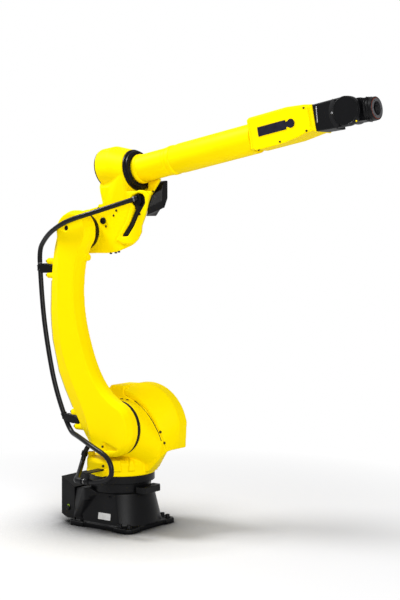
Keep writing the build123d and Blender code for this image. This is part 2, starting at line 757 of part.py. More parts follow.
# Elbow housing: hub and drum on the elbow axis, a body that draws back towards the far side,
# a raised lobe with the cable slot, and the round head that carries the forearm
with BuildPart() as elbow_housing:
    with BuildSketch(side_plane(-62.0)):
        with Locations((elbow_x, elbow_z)):
            Circle(elbow_drum_radius)
    with BuildSketch(side_plane(elbow_hub_face)):
        with Locations((elbow_x, elbow_z)):
            Circle(elbow_hub_radius)
    loft()
    with BuildSketch(side_plane(elbow_far_face + 10.0)):
        with Locations((elbow_x, elbow_z)):
            Circle(elbow_drum_radius)
    extrude(amount=elbow_far_face + 10.0 + 62.0)
    with BuildSketch(side_plane(elbow_far_face)):
        with BuildLine():
            Polyline(*all_grown(body_far), close=True)
        make_face()
    with BuildSketch(side_plane(elbow_near_face)):
        with BuildLine():
            Polyline(*all_grown(body_near), close=True)
        make_face()
    loft(ruled=True)
    with BuildSketch(side_plane(lobe_foot_face)):
        with BuildLine():
            Polyline(*all_grown(lobe_foot), close=True)
        make_face()
    with BuildSketch(side_plane(lobe_rim_face)):
        with BuildLine():
            Polyline(*all_grown(lobe_rim), close=True)
        make_face()
    loft(ruled=True)
    with BuildSketch(roll_cross_plane(106.0)):
        with Locations((0, 37.0)):
            Circle(88.0)
    with BuildSketch(roll_cross_plane(174.0)):
        with Locations((0, 27.0)):
            Circle(95.0)
    loft()
    with BuildSketch(roll_cross_plane(174.0)):
        with Locations((0, 27.0)):
            Circle(95.0)
    with BuildSketch(roll_cross_plane(roll_ring_back)):
        Circle(90.0)
    loft()
    with BuildSketch(side_plane(98.0)):
        with BuildLine():
            Polyline(*all_grown(motor_seat), close=True)
        make_face()
    extrude(amount=32.0)
    with BuildSketch(side_plane(66.0)):
        with BuildLine():
            Polyline(*all_grown(ear), close=True)
        make_face()
    extrude(amount=20.0)
    with BuildSketch(side_plane(slot_floor_face)):
        with BuildLine():
            Polyline(*all_grown(mouth_floor), close=True)
        make_face()
    with BuildSketch(side_plane(lobe_rim_face - 1.0)):
        with BuildLine():
            Polyline(*all_grown(mouth_rim), close=True)
        make_face()
    loft(ruled=True, mode=Mode.SUBTRACT)
    with BuildSketch(run_plane(slot_route[0], slot_route[1])):
        Circle(clip_bore)
    extrude(amount=151.0, mode=Mode.SUBTRACT)
    with BuildSketch(roll_cross_plane(roll_spigot_back)):
        Circle(roll_spigot_radius + face_gap)
    extrude(amount=80.0, mode=Mode.SUBTRACT)
keep(elbow_housing, "elbow_housing")

# Cover on the back of the head
with BuildPart() as elbow_rear_cover:
    with BuildSketch(roll_cross_plane(106.0 - face_gap)):
        with Locations((0, 37.0)):
            Circle(85.0)
    extrude(amount=-8.0)
    chamfer(elbow_rear_cover.faces().sort_by(Axis.X)[0].edges(), length=3.0)
keep(elbow_rear_cover, "elbow_rear_cover")

# Round plug beside the elbow hub
with BuildPart() as elbow_plug:
    with BuildSketch(side_plane(elbow_near_face - face_gap)):
        with Locations(grown(-30.0, 1286.0)):
            Circle(14.0)
    extrude(amount=8.0)
    chamfer(elbow_plug.faces().sort_by(Axis.Y)[0].edges(), length=2.0)
keep(elbow_plug, "elbow_plug")

# Black ring where the forearm turns
with BuildPart() as roll_ring:
    with BuildSketch(roll_cross_plane(roll_ring_back + face_gap)):
        Circle(roll_ring_radius)
        Circle(rear_tube_radius + 0.4, mode=Mode.SUBTRACT)
    extrude(amount=roll_ring_front - roll_ring_back)
    chamfer(roll_ring.faces().sort_by(Axis.X)[-1].edges(), length=4.0)
keep(roll_ring, "roll_ring")

# Faceted motor cover in front of the housing, on its far side
cover_back = [
    (8.0, 1322.0),
    (24.0, 1304.0),
    (112.0, 1304.0),
    (112.0, 1452.0),
    (92.0, 1452.0),
    (78.0, 1443.0),
    (40.0, 1412.0),
    (8.0, 1405.0),
]
cover_front = [
    (66.0, 1370.0),
    (82.0, 1340.0),
    (102.0, 1383.0),
    (102.0, 1456.0),
    (88.0, 1456.0),
    (78.0, 1452.0),
    (70.0, 1440.0),
    (66.0, 1410.0),
]
motor_back, motor_height = grown(100.0, 1378.0)
cover_rise = motor_height - 1378.0
ear_clearance = [(60.0, 1360.0), (112.0, 1375.0), (134.0, 1391.0), (180.0, 1439.0), (180.0, 1500.0), (60.0, 1500.0)]
with BuildPart() as roll_motor_cover:
    with BuildSketch(Plane.YZ.offset(motor_back + face_gap)):
        with BuildLine():
            Polyline(*shifted(cover_back, 0.0, cover_rise), close=True)
        make_face()
    with BuildSketch(Plane.YZ.offset(motor_back + 72.0)):
        with BuildLine():
            Polyline(*shifted(cover_front, 0.0, cover_rise), close=True)
        make_face()
    loft(ruled=True)
    with BuildSketch(side_plane(elbow_far_face + 0.5)):
        with BuildLine():
            Polyline(*shifted(all_grown(body_far), 1.5, 0.0), close=True)
        make_face()
    with BuildSketch(side_plane(elbow_near_face)):
        with BuildLine():
            Polyline(*shifted(all_grown(body_near), 1.5, 0.0), close=True)
        make_face()
    loft(ruled=True, mode=Mode.SUBTRACT)
    with BuildSketch(side_plane(66.0 + face_gap)):
        with BuildLine():
            Polyline(*all_grown(ear_clearance), close=True)
        make_face()
    extrude(amount=90.0, mode=Mode.SUBTRACT)
    with BuildSketch(roll_cross_plane(roll_ring_back - 12.0)):
        Circle(roll_ring_radius + 6.0)
    extrude(amount=44.0, mode=Mode.SUBTRACT)
keep(roll_motor_cover, "roll_motor_cover")

# Clip at the mouth of the cable slot
slot_clip_outline = [
    (158.0, 1362.0),
    (165.5, 1358.0),
    (187.0, 1347.0),
    (196.0, 1366.0),
    (193.0, 1388.0),
    (176.0, 1396.0),
    (156.0, 1386.0),
]
with BuildPart() as slot_hose_clip:
    with BuildSketch(side_plane(slot_floor_face - face_gap)):
        with BuildLine():
            Polyline(*all_grown(slot_clip_outline), close=True)
        make_face()
    extrude(amount=34.0)
    with BuildSketch(run_plane(elbow_route[5], elbow_route[6])):
        Circle(clip_bore)
    extrude(amount=190.8, mode=Mode.SUBTRACT)
keep(slot_hose_clip, "slot_hose_clip")

# Forearm tubes: the rear one turns on a spigot inside the elbow head
with BuildPart() as forearm_rear_tube:
    with BuildSketch(roll_cross_plane(roll_spigot_back + face_gap)):
        Circle(roll_spigot_radius)
        Circle(tube_bore, mode=Mode.SUBTRACT)
    extrude(amount=roll_ring_back + 2.0 - roll_spigot_back)
    with BuildSketch(roll_cross_plane(roll_ring_back + 2.0)):
        Circle(rear_tube_radius)
        Circle(tube_bore, mode=Mode.SUBTRACT)
    extrude(amount=collar_start - roll_ring_back - 2.0)
    with BuildSketch(roll_cross_plane(collar_start)):
        Circle(front_tube_radius + 0.5)
        Circle(tube_bore, mode=Mode.SUBTRACT)
    extrude(amount=collar_end - collar_start)
keep(forearm_rear_tube, "forearm_rear_tube")

with BuildPart() as forearm_front_tube:
    with BuildSketch(roll_cross_plane(collar_end + face_gap)):
        Circle(rear_tube_radius + 1.0)
    with BuildSketch(roll_cross_plane(front_tube_start)):
        Circle(front_tube_radius)
    loft()
    with BuildSketch(roll_cross_plane(front_tube_start)):
        Circle(front_tube_radius)
    extrude(amount=housing_start - front_tube_start - face_gap)
    with BuildSketch(roll_cross_plane(collar_end)):
        Circle(tube_bore)
    extrude(amount=housing_start - collar_end + 1.0, mode=Mode.SUBTRACT)
keep(forearm_front_tube, "forearm_front_tube")

# Wrist housing: a rounded box whose underside tapers to the front, bored for the tube
with BuildPart() as wrist_housing:
    with BuildSketch(roll_side_plane(housing_half_width)):
        with BuildLine():
            Polyline(
                (housing_start, -62.0),
                (housing_start, 68.0),
                (housing_start + 12.0, 76.0),
                (housing_start + 192.0, 77.0),
                (housing_start + 272.0, 68.0),
                (housing_end, 60.0),
                (housing_end, -46.0),
                (housing_start + 232.0, -62.0),
                (housing_start + 152.0, -71.0),
                (housing_start + 16.0, -70.0),
                close=True,
            )
        make_face()
    extrude(amount=2.0 * housing_half_width)
    chamfer(wrist_housing.faces().filter_by(Axis.Y).edges(), length=7.0)
    with BuildSketch(roll_cross_plane(housing_start)):
        Circle(tube_bore)
    extrude(amount=120.0, mode=Mode.SUBTRACT)
keep(wrist_housing, "wrist_housing")

with BuildPart() as wrist_side_cover:
    with BuildSketch(roll_side_plane(-housing_half_width - face_gap)):
        with BuildLine():
            Polyline(
                (housing_start + 18.0, -52.0),
                (housing_start + 18.0, 62.0),
                (housing_start + 28.0, 68.0),
                (housing_start + 192.0, 69.0),
                (housing_start + 264.0, 60.0),
                (housing_end - 16.0, 54.0),
                (housing_end - 16.0, -34.0),
                (housing_start + 230.0, -51.0),
                (housing_start + 152.0, -60.0),
                (housing_start + 30.0, -60.0),
                close=True,
            )
        make_face()
    extrude(amount=side_cover_thickness)
    chamfer(wrist_side_cover.faces().sort_by(Axis.Y)[0].edges(), length=2.0)
keep(wrist_side_cover, "wrist_side_cover")

# Blank plate with a round end on the side cover
with BuildPart() as blank_plate:
    with BuildSketch(roll_side_plane(-housing_half_width - side_cover_thickness - 2.0 * face_gap)):
        with Locations((housing_start + 119.0, 8.0)):
            Rectangle(132.0, 37.0)
        with Locations((housing_start + 208.0, 8.0)):
            Circle(17.5)
        with Locations((housing_start + 188.0, 8.0)):
            Rectangle(20.0, 22.0)
    extrude(amount=1.2)
keep(blank_plate, "blank_plate")

# Black wrist yoke: a solid root that splits into two arms, bored for the trunnions
with BuildPart() as wrist_yoke:
    with BuildSketch(roll_side_plane(yoke_half_width)):
        with BuildLine():
            Polyline(
                (forearm_length, -yoke_arm_radius),
                (housing_end + face_gap, -46.0),
                (housing_end + face_gap, 58.0),
                (forearm_length, yoke_arm_radius),
            )
            ThreePointArc(
                (forearm_length, yoke_arm_radius),
                (forearm_length + yoke_arm_radius, 0),
                (forearm_length, -yoke_arm_radius),
            )
        make_face()
    extrude(amount=2.0 * yoke_half_width)
    chamfer(wrist_yoke.faces().filter_by(Axis.Y).edges(), length=4.0)
    with BuildSketch(roll_side_plane(yoke_gap_half)):
        with Locations((forearm_length + 68.0, 0)):
            Rectangle(270.0, 200.0)
    extrude(amount=2.0 * yoke_gap_half, mode=Mode.SUBTRACT)
    with BuildSketch(roll_side_plane(yoke_half_width + 1.0)):
        with Locations((forearm_length, 0)):
            Circle(trunnion_radius + face_gap)
    extrude(amount=2.0 * yoke_half_width + 2.0, mode=Mode.SUBTRACT)
    with BuildSketch(roll_side_plane(-yoke_half_width + 1.0)):
        with Locations((housing_end + 22.0, 4.0)):
            Rectangle(4.0, 58.0)
    extrude(amount=2.5)
keep(wrist_yoke, "wrist_yoke")

# Round covers over the two ends of the trunnions
with BuildPart() as yoke_cover_near:
    with BuildSketch(roll_side_plane(-yoke_half_width - face_gap)):
        with Locations((forearm_length, 0)):
            Circle(yoke_arm_radius - 1.0)
    with BuildSketch(roll_side_plane(-yoke_half_width - 9.0)):
        with Locations((forearm_length, 0)):
            Circle(yoke_arm_radius - 4.0)
    loft()
keep(yoke_cover_near, "yoke_cover_near")

with BuildPart() as yoke_cover_far:
    with BuildSketch(roll_side_plane(yoke_half_width + face_gap)):
        with Locations((forearm_length, 0)):
            Circle(yoke_arm_radius - 1.0)
    with BuildSketch(roll_side_plane(yoke_half_width + 9.0)):
        with Locations((forearm_length, 0)):
            Circle(yoke_arm_radius - 4.0)
    loft()
keep(yoke_cover_far, "yoke_cover_far")

# Bending unit between the yoke arms, with trunnions and the bored nose for the flange
with BuildPart() as wrist_body:
    with BuildSketch(wrist_side_plane(wrist_half_width)):
        Circle(47.0)
        with Locations((38.0, 0)):
            Rectangle(76.0, 84.0)
    extrude(amount=2.0 * wrist_half_width)
    with BuildSketch(wrist_side_plane(yoke_half_width)):
        Circle(trunnion_radius)
    extrude(amount=2.0 * yoke_half_width)
    with BuildSketch(wrist_cross_plane(76.0)):
        Circle(nose_radius)
    extrude(amount=flange_reach - flange_thickness - 76.0 - face_gap)
    with BuildSketch(wrist_cross_plane(-60.0)):
        Circle(wrist_bore_radius)
    extrude(amount=200.0, mode=Mode.SUBTRACT)
    with BuildSketch(wrist_cross_plane(nose_seat)):
        Circle(flange_spigot_radius)
    extrude(amount=40.0, mode=Mode.SUBTRACT)
keep(wrist_body, "wrist_body")

# Tool flange with its bolt circle and the spigot that turns in the nose
with BuildPart() as tool_flange:
    with BuildSketch(wrist_cross_plane(flange_reach - flange_thickness)):
        Circle(flange_radius - 3.0)
        Circle(flange_bore_radius, mode=Mode.SUBTRACT)
    extrude(amount=flange_thickness)
    with BuildSketch(wrist_cross_plane(nose_seat + face_gap)):
        Circle(flange_spigot_radius - face_gap)
        Circle(flange_bore_radius, mode=Mode.SUBTRACT)
    extrude(amount=flange_reach - flange_thickness - nose_seat)
    with Locations(wrist_cross_plane(flange_reach)):
        with PolarLocations(flange_bolt_circle / 2.0, 6):
            Hole(radius=flange_bolt_radius, depth=12.0)
keep(tool_flange, "tool_flange")

# Red-brown seal ring round the flange
with BuildPart() as flange_seal:
    with BuildSketch(wrist_cross_plane(flange_reach - flange_thickness)):
        Circle(flange_radius)
        Circle(flange_radius - 3.0 + face_gap, mode=Mode.SUBTRACT)
    extrude(amount=4.0)
keep(flange_seal, "flange_seal")
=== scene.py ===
# %% [markdown]
# # A six-axis robot arm, dressed for the camera
# The solids of the arm come from its CAD model and already stand in their working pose.
# Here they get their castings' soft edges, their paint, their hoses and their screws.
# Blender works in metres, so a size that a fitter would give in millimetres is multiplied by mm.

import json
from math import atan2, cos, pi, radians, sin

import bmesh
import bpy
from mathutils import Matrix, Vector
from mathutils.bvhtree import BVHTree

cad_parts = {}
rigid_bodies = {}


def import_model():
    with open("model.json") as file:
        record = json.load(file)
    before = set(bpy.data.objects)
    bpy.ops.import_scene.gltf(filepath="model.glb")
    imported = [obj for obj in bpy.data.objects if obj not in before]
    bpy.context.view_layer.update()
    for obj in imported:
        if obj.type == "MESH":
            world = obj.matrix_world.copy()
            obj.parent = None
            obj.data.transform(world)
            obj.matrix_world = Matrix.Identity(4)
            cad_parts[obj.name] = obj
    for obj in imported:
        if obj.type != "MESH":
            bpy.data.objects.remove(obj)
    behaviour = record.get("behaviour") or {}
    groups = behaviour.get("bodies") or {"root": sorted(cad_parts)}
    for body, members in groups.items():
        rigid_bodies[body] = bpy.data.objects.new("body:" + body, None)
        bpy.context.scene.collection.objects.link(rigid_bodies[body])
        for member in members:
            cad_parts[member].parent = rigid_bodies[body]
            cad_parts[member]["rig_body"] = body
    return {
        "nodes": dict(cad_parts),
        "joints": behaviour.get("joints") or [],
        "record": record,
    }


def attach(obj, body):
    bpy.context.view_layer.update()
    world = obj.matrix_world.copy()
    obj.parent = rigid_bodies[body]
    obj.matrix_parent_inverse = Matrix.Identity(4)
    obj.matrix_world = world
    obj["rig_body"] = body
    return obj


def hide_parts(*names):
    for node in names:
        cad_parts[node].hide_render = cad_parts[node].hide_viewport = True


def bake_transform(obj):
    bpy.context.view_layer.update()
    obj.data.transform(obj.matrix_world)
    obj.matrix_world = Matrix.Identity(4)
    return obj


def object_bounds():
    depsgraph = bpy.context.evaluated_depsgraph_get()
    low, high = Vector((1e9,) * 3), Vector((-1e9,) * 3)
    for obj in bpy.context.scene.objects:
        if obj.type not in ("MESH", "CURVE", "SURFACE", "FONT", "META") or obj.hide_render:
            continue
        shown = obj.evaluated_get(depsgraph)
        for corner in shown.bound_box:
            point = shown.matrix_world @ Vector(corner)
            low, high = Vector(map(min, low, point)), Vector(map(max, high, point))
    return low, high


mm = 0.001
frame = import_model()
nodes = frame["nodes"]
cad_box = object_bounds()
bpy.context.view_layer.update()
print("nodes", len(nodes), "box", [round(v, 3) for corner in cad_box for v in corner])

# %% [markdown]
# A few words are used all through: the directions as the camera's side sees them, a way to put new
# data into the scene, and the places and axes of the joints, which the frame knows.

# %% Directions and joints
upward = Vector((0, 0, 1))
nearer = Vector((0, -1, 0))
farther = Vector((0, 1, 0))
rearward = Vector((-1, 0, 0))
joints = {joint["name"]: joint for joint in frame["joints"]}


def linked(name, data):
    thing = bpy.data.objects.new(name, data)
    bpy.context.scene.collection.objects.link(thing)
    return thing


def standing(place, axis):
    turn = upward.rotation_difference(Vector(axis)).to_matrix().to_4x4()
    return Matrix.Translation(place) @ turn


def joint_place(name):
    return Vector(joints[name]["pos_m"])


def joint_axis(name):
    return Vector(joints[name]["axis"]).normalized()


shoulder_place = joint_place("lower_arm_swing")
roll_place = joint_place("forearm_roll")
roll_axis = joint_axis("forearm_roll")
roll_up = Vector((-roll_axis.z, 0, roll_axis.x))
bend_place = joint_place("wrist_bend")
flange_centre = joint_place("flange_turn")
flange_axis = joint_axis("flange_turn")

# %% [markdown]
# ## Camera
# The photograph was taken from the front left of the machine with a long lens, level with the
# middle of the arm. The horizon is well above the picture's middle. A tilted camera would make the
# upright lines lean, so the camera stays level and the lens is shifted instead.

# %% Camera
photo_width, photo_height = 400, 600
focal_pixels = 1385.0
principal_x, principal_y = 212.37, 210.98
sensor = 36.0
camera_yaw = 0.6364
camera_place = Vector((3.81705, -4.51225, 1.32717))

camera = linked("camera", bpy.data.cameras.new("camera"))
camera.location = camera_place
camera.rotation_euler = (pi / 2, 0, camera_yaw)
camera.data.sensor_width = sensor
camera.data.lens = focal_pixels * sensor / photo_height
camera.data.shift_x = (photo_width / 2 - principal_x) / photo_height
camera.data.shift_y = (principal_y - photo_height / 2) / photo_height
camera.data.clip_end = 60.0
bpy.context.scene.camera = camera
ahead = Vector((-sin(camera_yaw), cos(camera_yaw), 0))
rightward = Vector((cos(camera_yaw), sin(camera_yaw), 0))
lens_shift = (round(camera.data.shift_x, 4), round(camera.data.shift_y, 4))
print("lens", round(camera.data.lens, 2), "shift", lens_shift)

# %% [markdown]
# A small thing that shows in the photograph is found again by its pixel. A line of sight goes
# through the pixel, and the thing sits where that line meets the solid that carries it, or where it
# meets an upright plane at a known depth. Measuring each place on the model would be slower.

# %% Sight lines
surfaces = {}


def sight_line(px, py):
    line = ahead * focal_pixels + rightward * (px - principal_x) + upward * (principal_y - py)
    return line.normalized()


def at_depth(px, py, y):
    line = sight_line(px, py)
    return camera_place + line * ((y * mm - camera_place.y) / line.y)


def surface_of(mesh):
    return BVHTree.FromPolygons([v.co for v in mesh.vertices], [p.vertices for p in mesh.polygons])


def met_by(node, start, direction):
    if node not in surfaces:
        surfaces[node] = surface_of(nodes[node].data)
    point, normal, _, _ = surfaces[node].ray_cast(Vector(start), Vector(direction).normalized())
    return (point, normal) if point else None


def seen_on(node, px, py):
    found = met_by(node, camera_place, sight_line(px, py))
    if not found:
        print("no hit on", node, "at", px, py)
    return found


# %% [markdown]
# ## Light
# A product photograph of a yellow machine has very soft light. One large lamp above and behind
# throws the shadow forward and to the right, and a broad one beside the camera keeps the yellow
# faces even.

# %% Lamps
arm_middle = Vector((0.3, 0, 0.8))


def soft_lamp(name, place, size, watts):
    lamp = linked(name, bpy.data.lights.new(name, "AREA"))
    lamp.data.shape = "DISK"
    lamp.data.size = size
    lamp.data.energy = watts
    lamp.location = place
    lamp.rotation_euler = (arm_middle - place).to_track_quat("-Z", "Y").to_euler()
    return lamp


key_place = arm_middle - rightward * 2.3 + ahead * 0.5 + upward * 3.0
fill_place = arm_middle + rightward * 0.9 - ahead * 3.8 + upward * 1.3
soft_lamp("key_lamp", key_place, size=1.0, watts=130.0)
soft_lamp("fill_lamp", fill_place, size=2.0, watts=88.0)
print("lamps", len(bpy.data.lights))

# %% [markdown]
# A bright room all round does the rest. The background is white, which is a matter of the
# backdrop's colour and not of more light: only the camera's own rays see the full white.

# %% White room
room_light = 0.50
world = bpy.data.worlds.new("white_room")
bpy.context.scene.world = world
world.use_nodes = True
world_tree = world.node_tree
room = world_tree.nodes["Background"]
room.inputs["Color"].default_value = (1, 1, 1, 1)
room.inputs["Strength"].default_value = room_light
backdrop = world_tree.nodes.new("ShaderNodeBackground")
backdrop.inputs["Color"].default_value = (1, 1, 1, 1)
backdrop.inputs["Strength"].default_value = 1.0
seen_rays = world_tree.nodes.new("ShaderNodeLightPath")
world_mix = world_tree.nodes.new("ShaderNodeMixShader")
world_tree.links.new(seen_rays.outputs["Is Camera Ray"], world_mix.inputs[0])
world_tree.links.new(room.outputs[0], world_mix.inputs[1])
world_tree.links.new(backdrop.outputs[0], world_mix.inputs[2])
world_tree.links.new(world_mix.outputs[0], world_tree.nodes["World Output"].inputs["Surface"])
bpy.context.scene.view_settings.view_transform = "Standard"
print("room light", room_light)

# %% [markdown]
# ## Shader sums
# A finish is a small program: it reads a place on the piece, makes noise from it and turns the
# noise into colour, roughness and height. Written as Python sums it stays readable. The class
# Part wraps one output socket, and adding or multiplying parts adds Math nodes to the material.


# %% Part of a finish
class Part:
    def __init__(self, finish, socket):
        self.finish = finish
        self.socket = socket

    def sum(self, operation, first, second):
        return self.finish.add("Math", {"operation": operation}, {0: first, 1: second})

    def __add__(self, other):
        return self.sum("ADD", self, other)

    def __mul__(self, other):
        return self.sum("MULTIPLY", self, other)

    def __sub__(self, other):
        return self.sum("SUBTRACT", self, other)

    def __rsub__(self, other):
        return self.sum("SUBTRACT", other, self)

    __radd__ = __add__
    __rmul__ = __mul__


# %% [markdown]
# The class Finish holds one material. Its methods add the few nodes that all the finishes share:
# noise, a mask between two levels, a mix of two colours, and relief with softened edges.


# %% Finish
class Finish:
    def __init__(self, name, **constants):
        self.material = bpy.data.materials.new(name)
        self.material.use_nodes = True
        self.tree = self.material.node_tree
        self.shader = self.tree.nodes["Principled BSDF"]
        for socket, value in constants.items():
            self.shader.inputs[socket.replace("_", " ")].default_value = value
        self.place = self.add("TexCoord", output="Object")

    def add(self, kind, settings=None, inputs=None, output=0):
        node = self.tree.nodes.new("ShaderNode" + kind)
        for setting, value in (settings or {}).items():
            setattr(node, setting, value)
        for socket, value in (inputs or {}).items():
            self.plug(node.inputs[socket], value)
        return Part(self, node.outputs[output])

    def plug(self, socket, value):
        if isinstance(value, Part):
            self.tree.links.new(value.socket, socket)
        else:
            socket.default_value = value

    def noise(self, scale, detail=3.0, roughness=0.5):
        inputs = {"Vector": self.place, "Scale": scale, "Detail": detail, "Roughness": roughness}
        return self.add("TexNoise", None, inputs)

    def steps(self, value, low, high):
        return self.add("MapRange", None, {"Value": value, "From Min": low, "From Max": high})

    def mix(self, mask, first, second):
        return self.add("Mix", {"data_type": "RGBA"}, {0: mask, 6: first, 7: second}, output=2)

    def set(self, **values):
        for socket, value in values.items():
            self.plug(self.shader.inputs[socket.replace("_", " ")], value)
        return self

    def relief(self, height, strength, depth, soft_edge=0.0):
        inputs = {"Height": height, "Strength": strength, "Distance": depth}
        if soft_edge:
            inputs["Normal"] = self.add("Bevel", {"samples": 4}, {"Radius": soft_edge})
        return self.set(Normal=self.add("Bump", None, inputs))


# %% [markdown]
# ## Floor
# The floor is plain white and keeps the machine's soft shadow from the lamps. Round the foot a
# painted shade, deepest where the foot shelters the floor from the room, darkens the floor's colour.
# Far from the machine it fades into the white backdrop, so that no horizon shows.

# %% Floor finish
# Painted shade: an ambient occlusion node turns the floor's colour dark near the machine.
painted_shade_floor = (0.02, 0.02, 0.02, 1)
open_floor = (0.80, 0.80, 0.81, 1)
painted_shade_reach = 0.6
fade_start, fade_end = 0.7, 1.9
floor_finish = Finish("floor_white", Roughness=0.9, Specular_IOR_Level=0.1)
glow = floor_finish.add("Emission", None, {"Color": (1, 1, 1, 1), "Strength": 1.0})
camera_ray = floor_finish.add("LightPath", output="Is Camera Ray")
painted_shade_occlusion = floor_finish.add("AmbientOcclusion", {"samples": 12}, {"Distance": painted_shade_reach}, output="AO")
painted_shade_mask = floor_finish.steps(painted_shade_occlusion, 0.50, 0.97)
floor_finish.set(Base_Color=floor_finish.mix(painted_shade_mask, painted_shade_floor, open_floor))
distance = floor_finish.add(
    "VectorMath", {"operation": "LENGTH"}, {0: floor_finish.place}, output="Value"
)
faded = floor_finish.steps(distance, fade_start, fade_end)
painted = Part(floor_finish, floor_finish.shader.outputs[0])
shown = floor_finish.add("MixShader", None, {0: camera_ray * faded, 1: painted, 2: glow})
floor_finish.plug(floor_finish.tree.nodes["Material Output"].inputs["Surface"], shown)

# %% [markdown]
# One large plane is enough. It lies at the foot of the CAD box.

# %% Floor plane
floor_size = 40.0
bpy.ops.object.select_all(action="DESELECT")
bpy.ops.mesh.primitive_plane_add(size=floor_size, location=(0, 0, cad_box[0].z))
floor = bpy.context.object
floor.name = "floor"
bpy.ops.object.transform_apply(location=True, rotation=True, scale=True)
floor.data.materials.append(floor_finish.material)
print("floor at", round(cad_box[0].z, 4))

# %% [markdown]
# ## Paint
# The arm is painted in a warm, strong yellow that is satin and slightly uneven, as sprayed paint
# on a casting is. Three noises do it: a slow one that shifts the shade over a hand's width, a
# fine one that is the orange peel of the spray, and a broken one that leaves a little dust.

# %% Yellow paint
yellow = (1.0, 0.76, 0.0, 1)
deep_yellow = (0.97, 0.72, 0.0, 1)
dusty_yellow = (0.78, 0.58, 0.01, 1)


def sprayed(name, soft_edge):
    finish = Finish(name, Specular_IOR_Level=0.02)
    slow = finish.noise(7.0, 2.0)
    peel = finish.noise(520.0, 2.0)
    dust = finish.steps(finish.noise(38.0, 6.0, 0.7), 0.56, 0.80)
    shade = finish.mix(finish.steps(slow, 0.42, 0.72) * 0.5, yellow, deep_yellow)
    finish.set(Base_Color=finish.mix(dust * 0.22, shade, dusty_yellow))
    finish.set(Roughness=0.40 + 0.10 * slow + 0.15 * dust)
    return finish.relief(peel + 0.6 * slow, 0.10, 0.4 * mm, soft_edge)


yellow_paint = sprayed("yellow_paint", 0.0)
yellow_edge_paint = sprayed("yellow_paint_on_cut_parts", 1.6 * mm)
print("yellow paints", yellow_paint.material.name, yellow_edge_paint.material.name)

# %% [markdown]
# The base, the ring and the wrist wear a black textured paint. It is close to matt, with a grain
# like fine sandpaper that shows in the light that grazes it, and rubbed spots where hands go.

# %% Black finishes
near_black = (0.0025, 0.0026, 0.0032, 1)
worn_black = (0.0065, 0.0068, 0.008, 1)
steel_black = (0.006, 0.006, 0.007, 1)
steel_grey = (0.018, 0.018, 0.019, 1)


def powder_black(name, colour, worn_colour, grain, roughness, soft_edge):
    finish = Finish(name, Specular_IOR_Level=0.16)
    sand = finish.noise(grain, 3.0, 0.65)
    cloud = finish.noise(9.0, 3.0)
    rubbed = finish.steps(cloud, 0.48, 0.78)
    finish.set(Base_Color=finish.mix(rubbed * 0.6, colour, worn_colour))
    finish.set(Roughness=roughness + 0.16 * sand - 0.10 * rubbed)
    return finish.relief(sand, 0.38, 0.35 * mm, soft_edge)


black_paint = powder_black("black_paint", near_black, worn_black, 900.0, 0.30, 1.4 * mm)
black_cast_paint = powder_black("black_cast_paint", near_black, worn_black, 620.0, 0.32, 0.0)
black_plastic = powder_black("black_plastic", near_black, worn_black, 1500.0, 0.26, 1.0 * mm)
bracket_steel = powder_black("bracket_steel", steel_black, steel_grey, 1100.0, 0.30, 0.6 * mm)
print("finishes so far", len(bpy.data.materials))

# %% [markdown]
# Rubber is duller than paint and a little grey where dust clings to it. The hose is a smooth
# plastic conduit, so it is glossier than the seals.

# %% Rubber finishes


def rubber(name, colour, dusty, roughness):
    finish = Finish(name, Specular_IOR_Level=0.22)
    grain = finish.noise(700.0, 4.0, 0.6)
    dust = finish.steps(finish.noise(24.0, 5.0, 0.7), 0.5, 0.8)
    finish.set(Base_Color=finish.mix(dust * 0.7, colour, dusty))
    finish.set(Roughness=roughness + 0.12 * grain)
    return finish.relief(grain, 0.25, 0.2 * mm)


seal_rubber = rubber("seal_rubber", (0.0025, 0.0025, 0.003, 1), (0.009, 0.008, 0.0075, 1), 0.45)
hose_rubber = rubber("hose_rubber", (0.004, 0.004, 0.005, 1), (0.012, 0.012, 0.014, 1), 0.28)
boot_rubber = rubber("boot_rubber", (0.003, 0.003, 0.0035, 1), (0.009, 0.0088, 0.0088, 1), 0.38)
print("finishes so far", len(bpy.data.materials))

# %% [markdown]
# The tool flange is turned steel under a dark oxide, so its rings catch the light one by one. A
# wave texture in rings round the flange's own axis gives the lathe marks. A Mapping node turns the
# pattern onto that axis, because the piece itself stays where the frame put it.

# %% Turned steel


def turned(name, colour, bright, centre, axis, rough=0.34):
    finish = Finish(name, Metallic=1.0)
    turn = upward.rotation_difference(axis).inverted().to_euler()
    moved = turn.to_matrix().to_4x4() @ Matrix.Translation(-centre)
    settled = finish.add(
        "Mapping", None, {"Vector": finish.place, "Location": moved.to_translation(), "Rotation": turn}
    )
    lathe_marks = finish.add(
        "TexWave",
        {"wave_type": "RINGS", "rings_direction": "Z", "wave_profile": "SIN"},
        {"Vector": settled, "Scale": 260.0, "Distortion": 1.2, "Detail": 2.0},
        output="Fac",
    )
    smudge = finish.noise(60.0, 4.0, 0.6)
    finish.set(Base_Color=finish.mix(0.55 * lathe_marks + 0.3 * smudge, colour, bright))
    finish.set(Roughness=rough + 0.18 * smudge)
    return finish.relief(lathe_marks, 0.12, 0.1 * mm, 0.5 * mm)


flange_steel = turned(
    "flange_steel", (0.10, 0.10, 0.11, 1), (0.30, 0.30, 0.31, 1), flange_centre, flange_axis
)

# %% [markdown]
# Screws are either blackened with oxide or plated with zinc. Both are metal with faint stains.

# %% Plated screws


def plated(name, colour, bright, roughness):
    finish = Finish(name, Metallic=0.9)
    grain = finish.noise(900.0, 3.0)
    stain = finish.noise(120.0, 4.0, 0.6)
    finish.set(Base_Color=finish.mix(finish.steps(stain, 0.4, 0.7), colour, bright))
    finish.set(Roughness=roughness + 0.15 * stain)
    return finish.relief(grain, 0.15, 0.1 * mm, 0.3 * mm)


black_screw = plated("black_oxide_screws", (0.012, 0.012, 0.014, 1), (0.035, 0.035, 0.038, 1), 0.38)
zinc = plated("zinc_plating", (0.42, 0.42, 0.43, 1), (0.60, 0.60, 0.60, 1), 0.30)
print("finishes so far", len(bpy.data.materials))

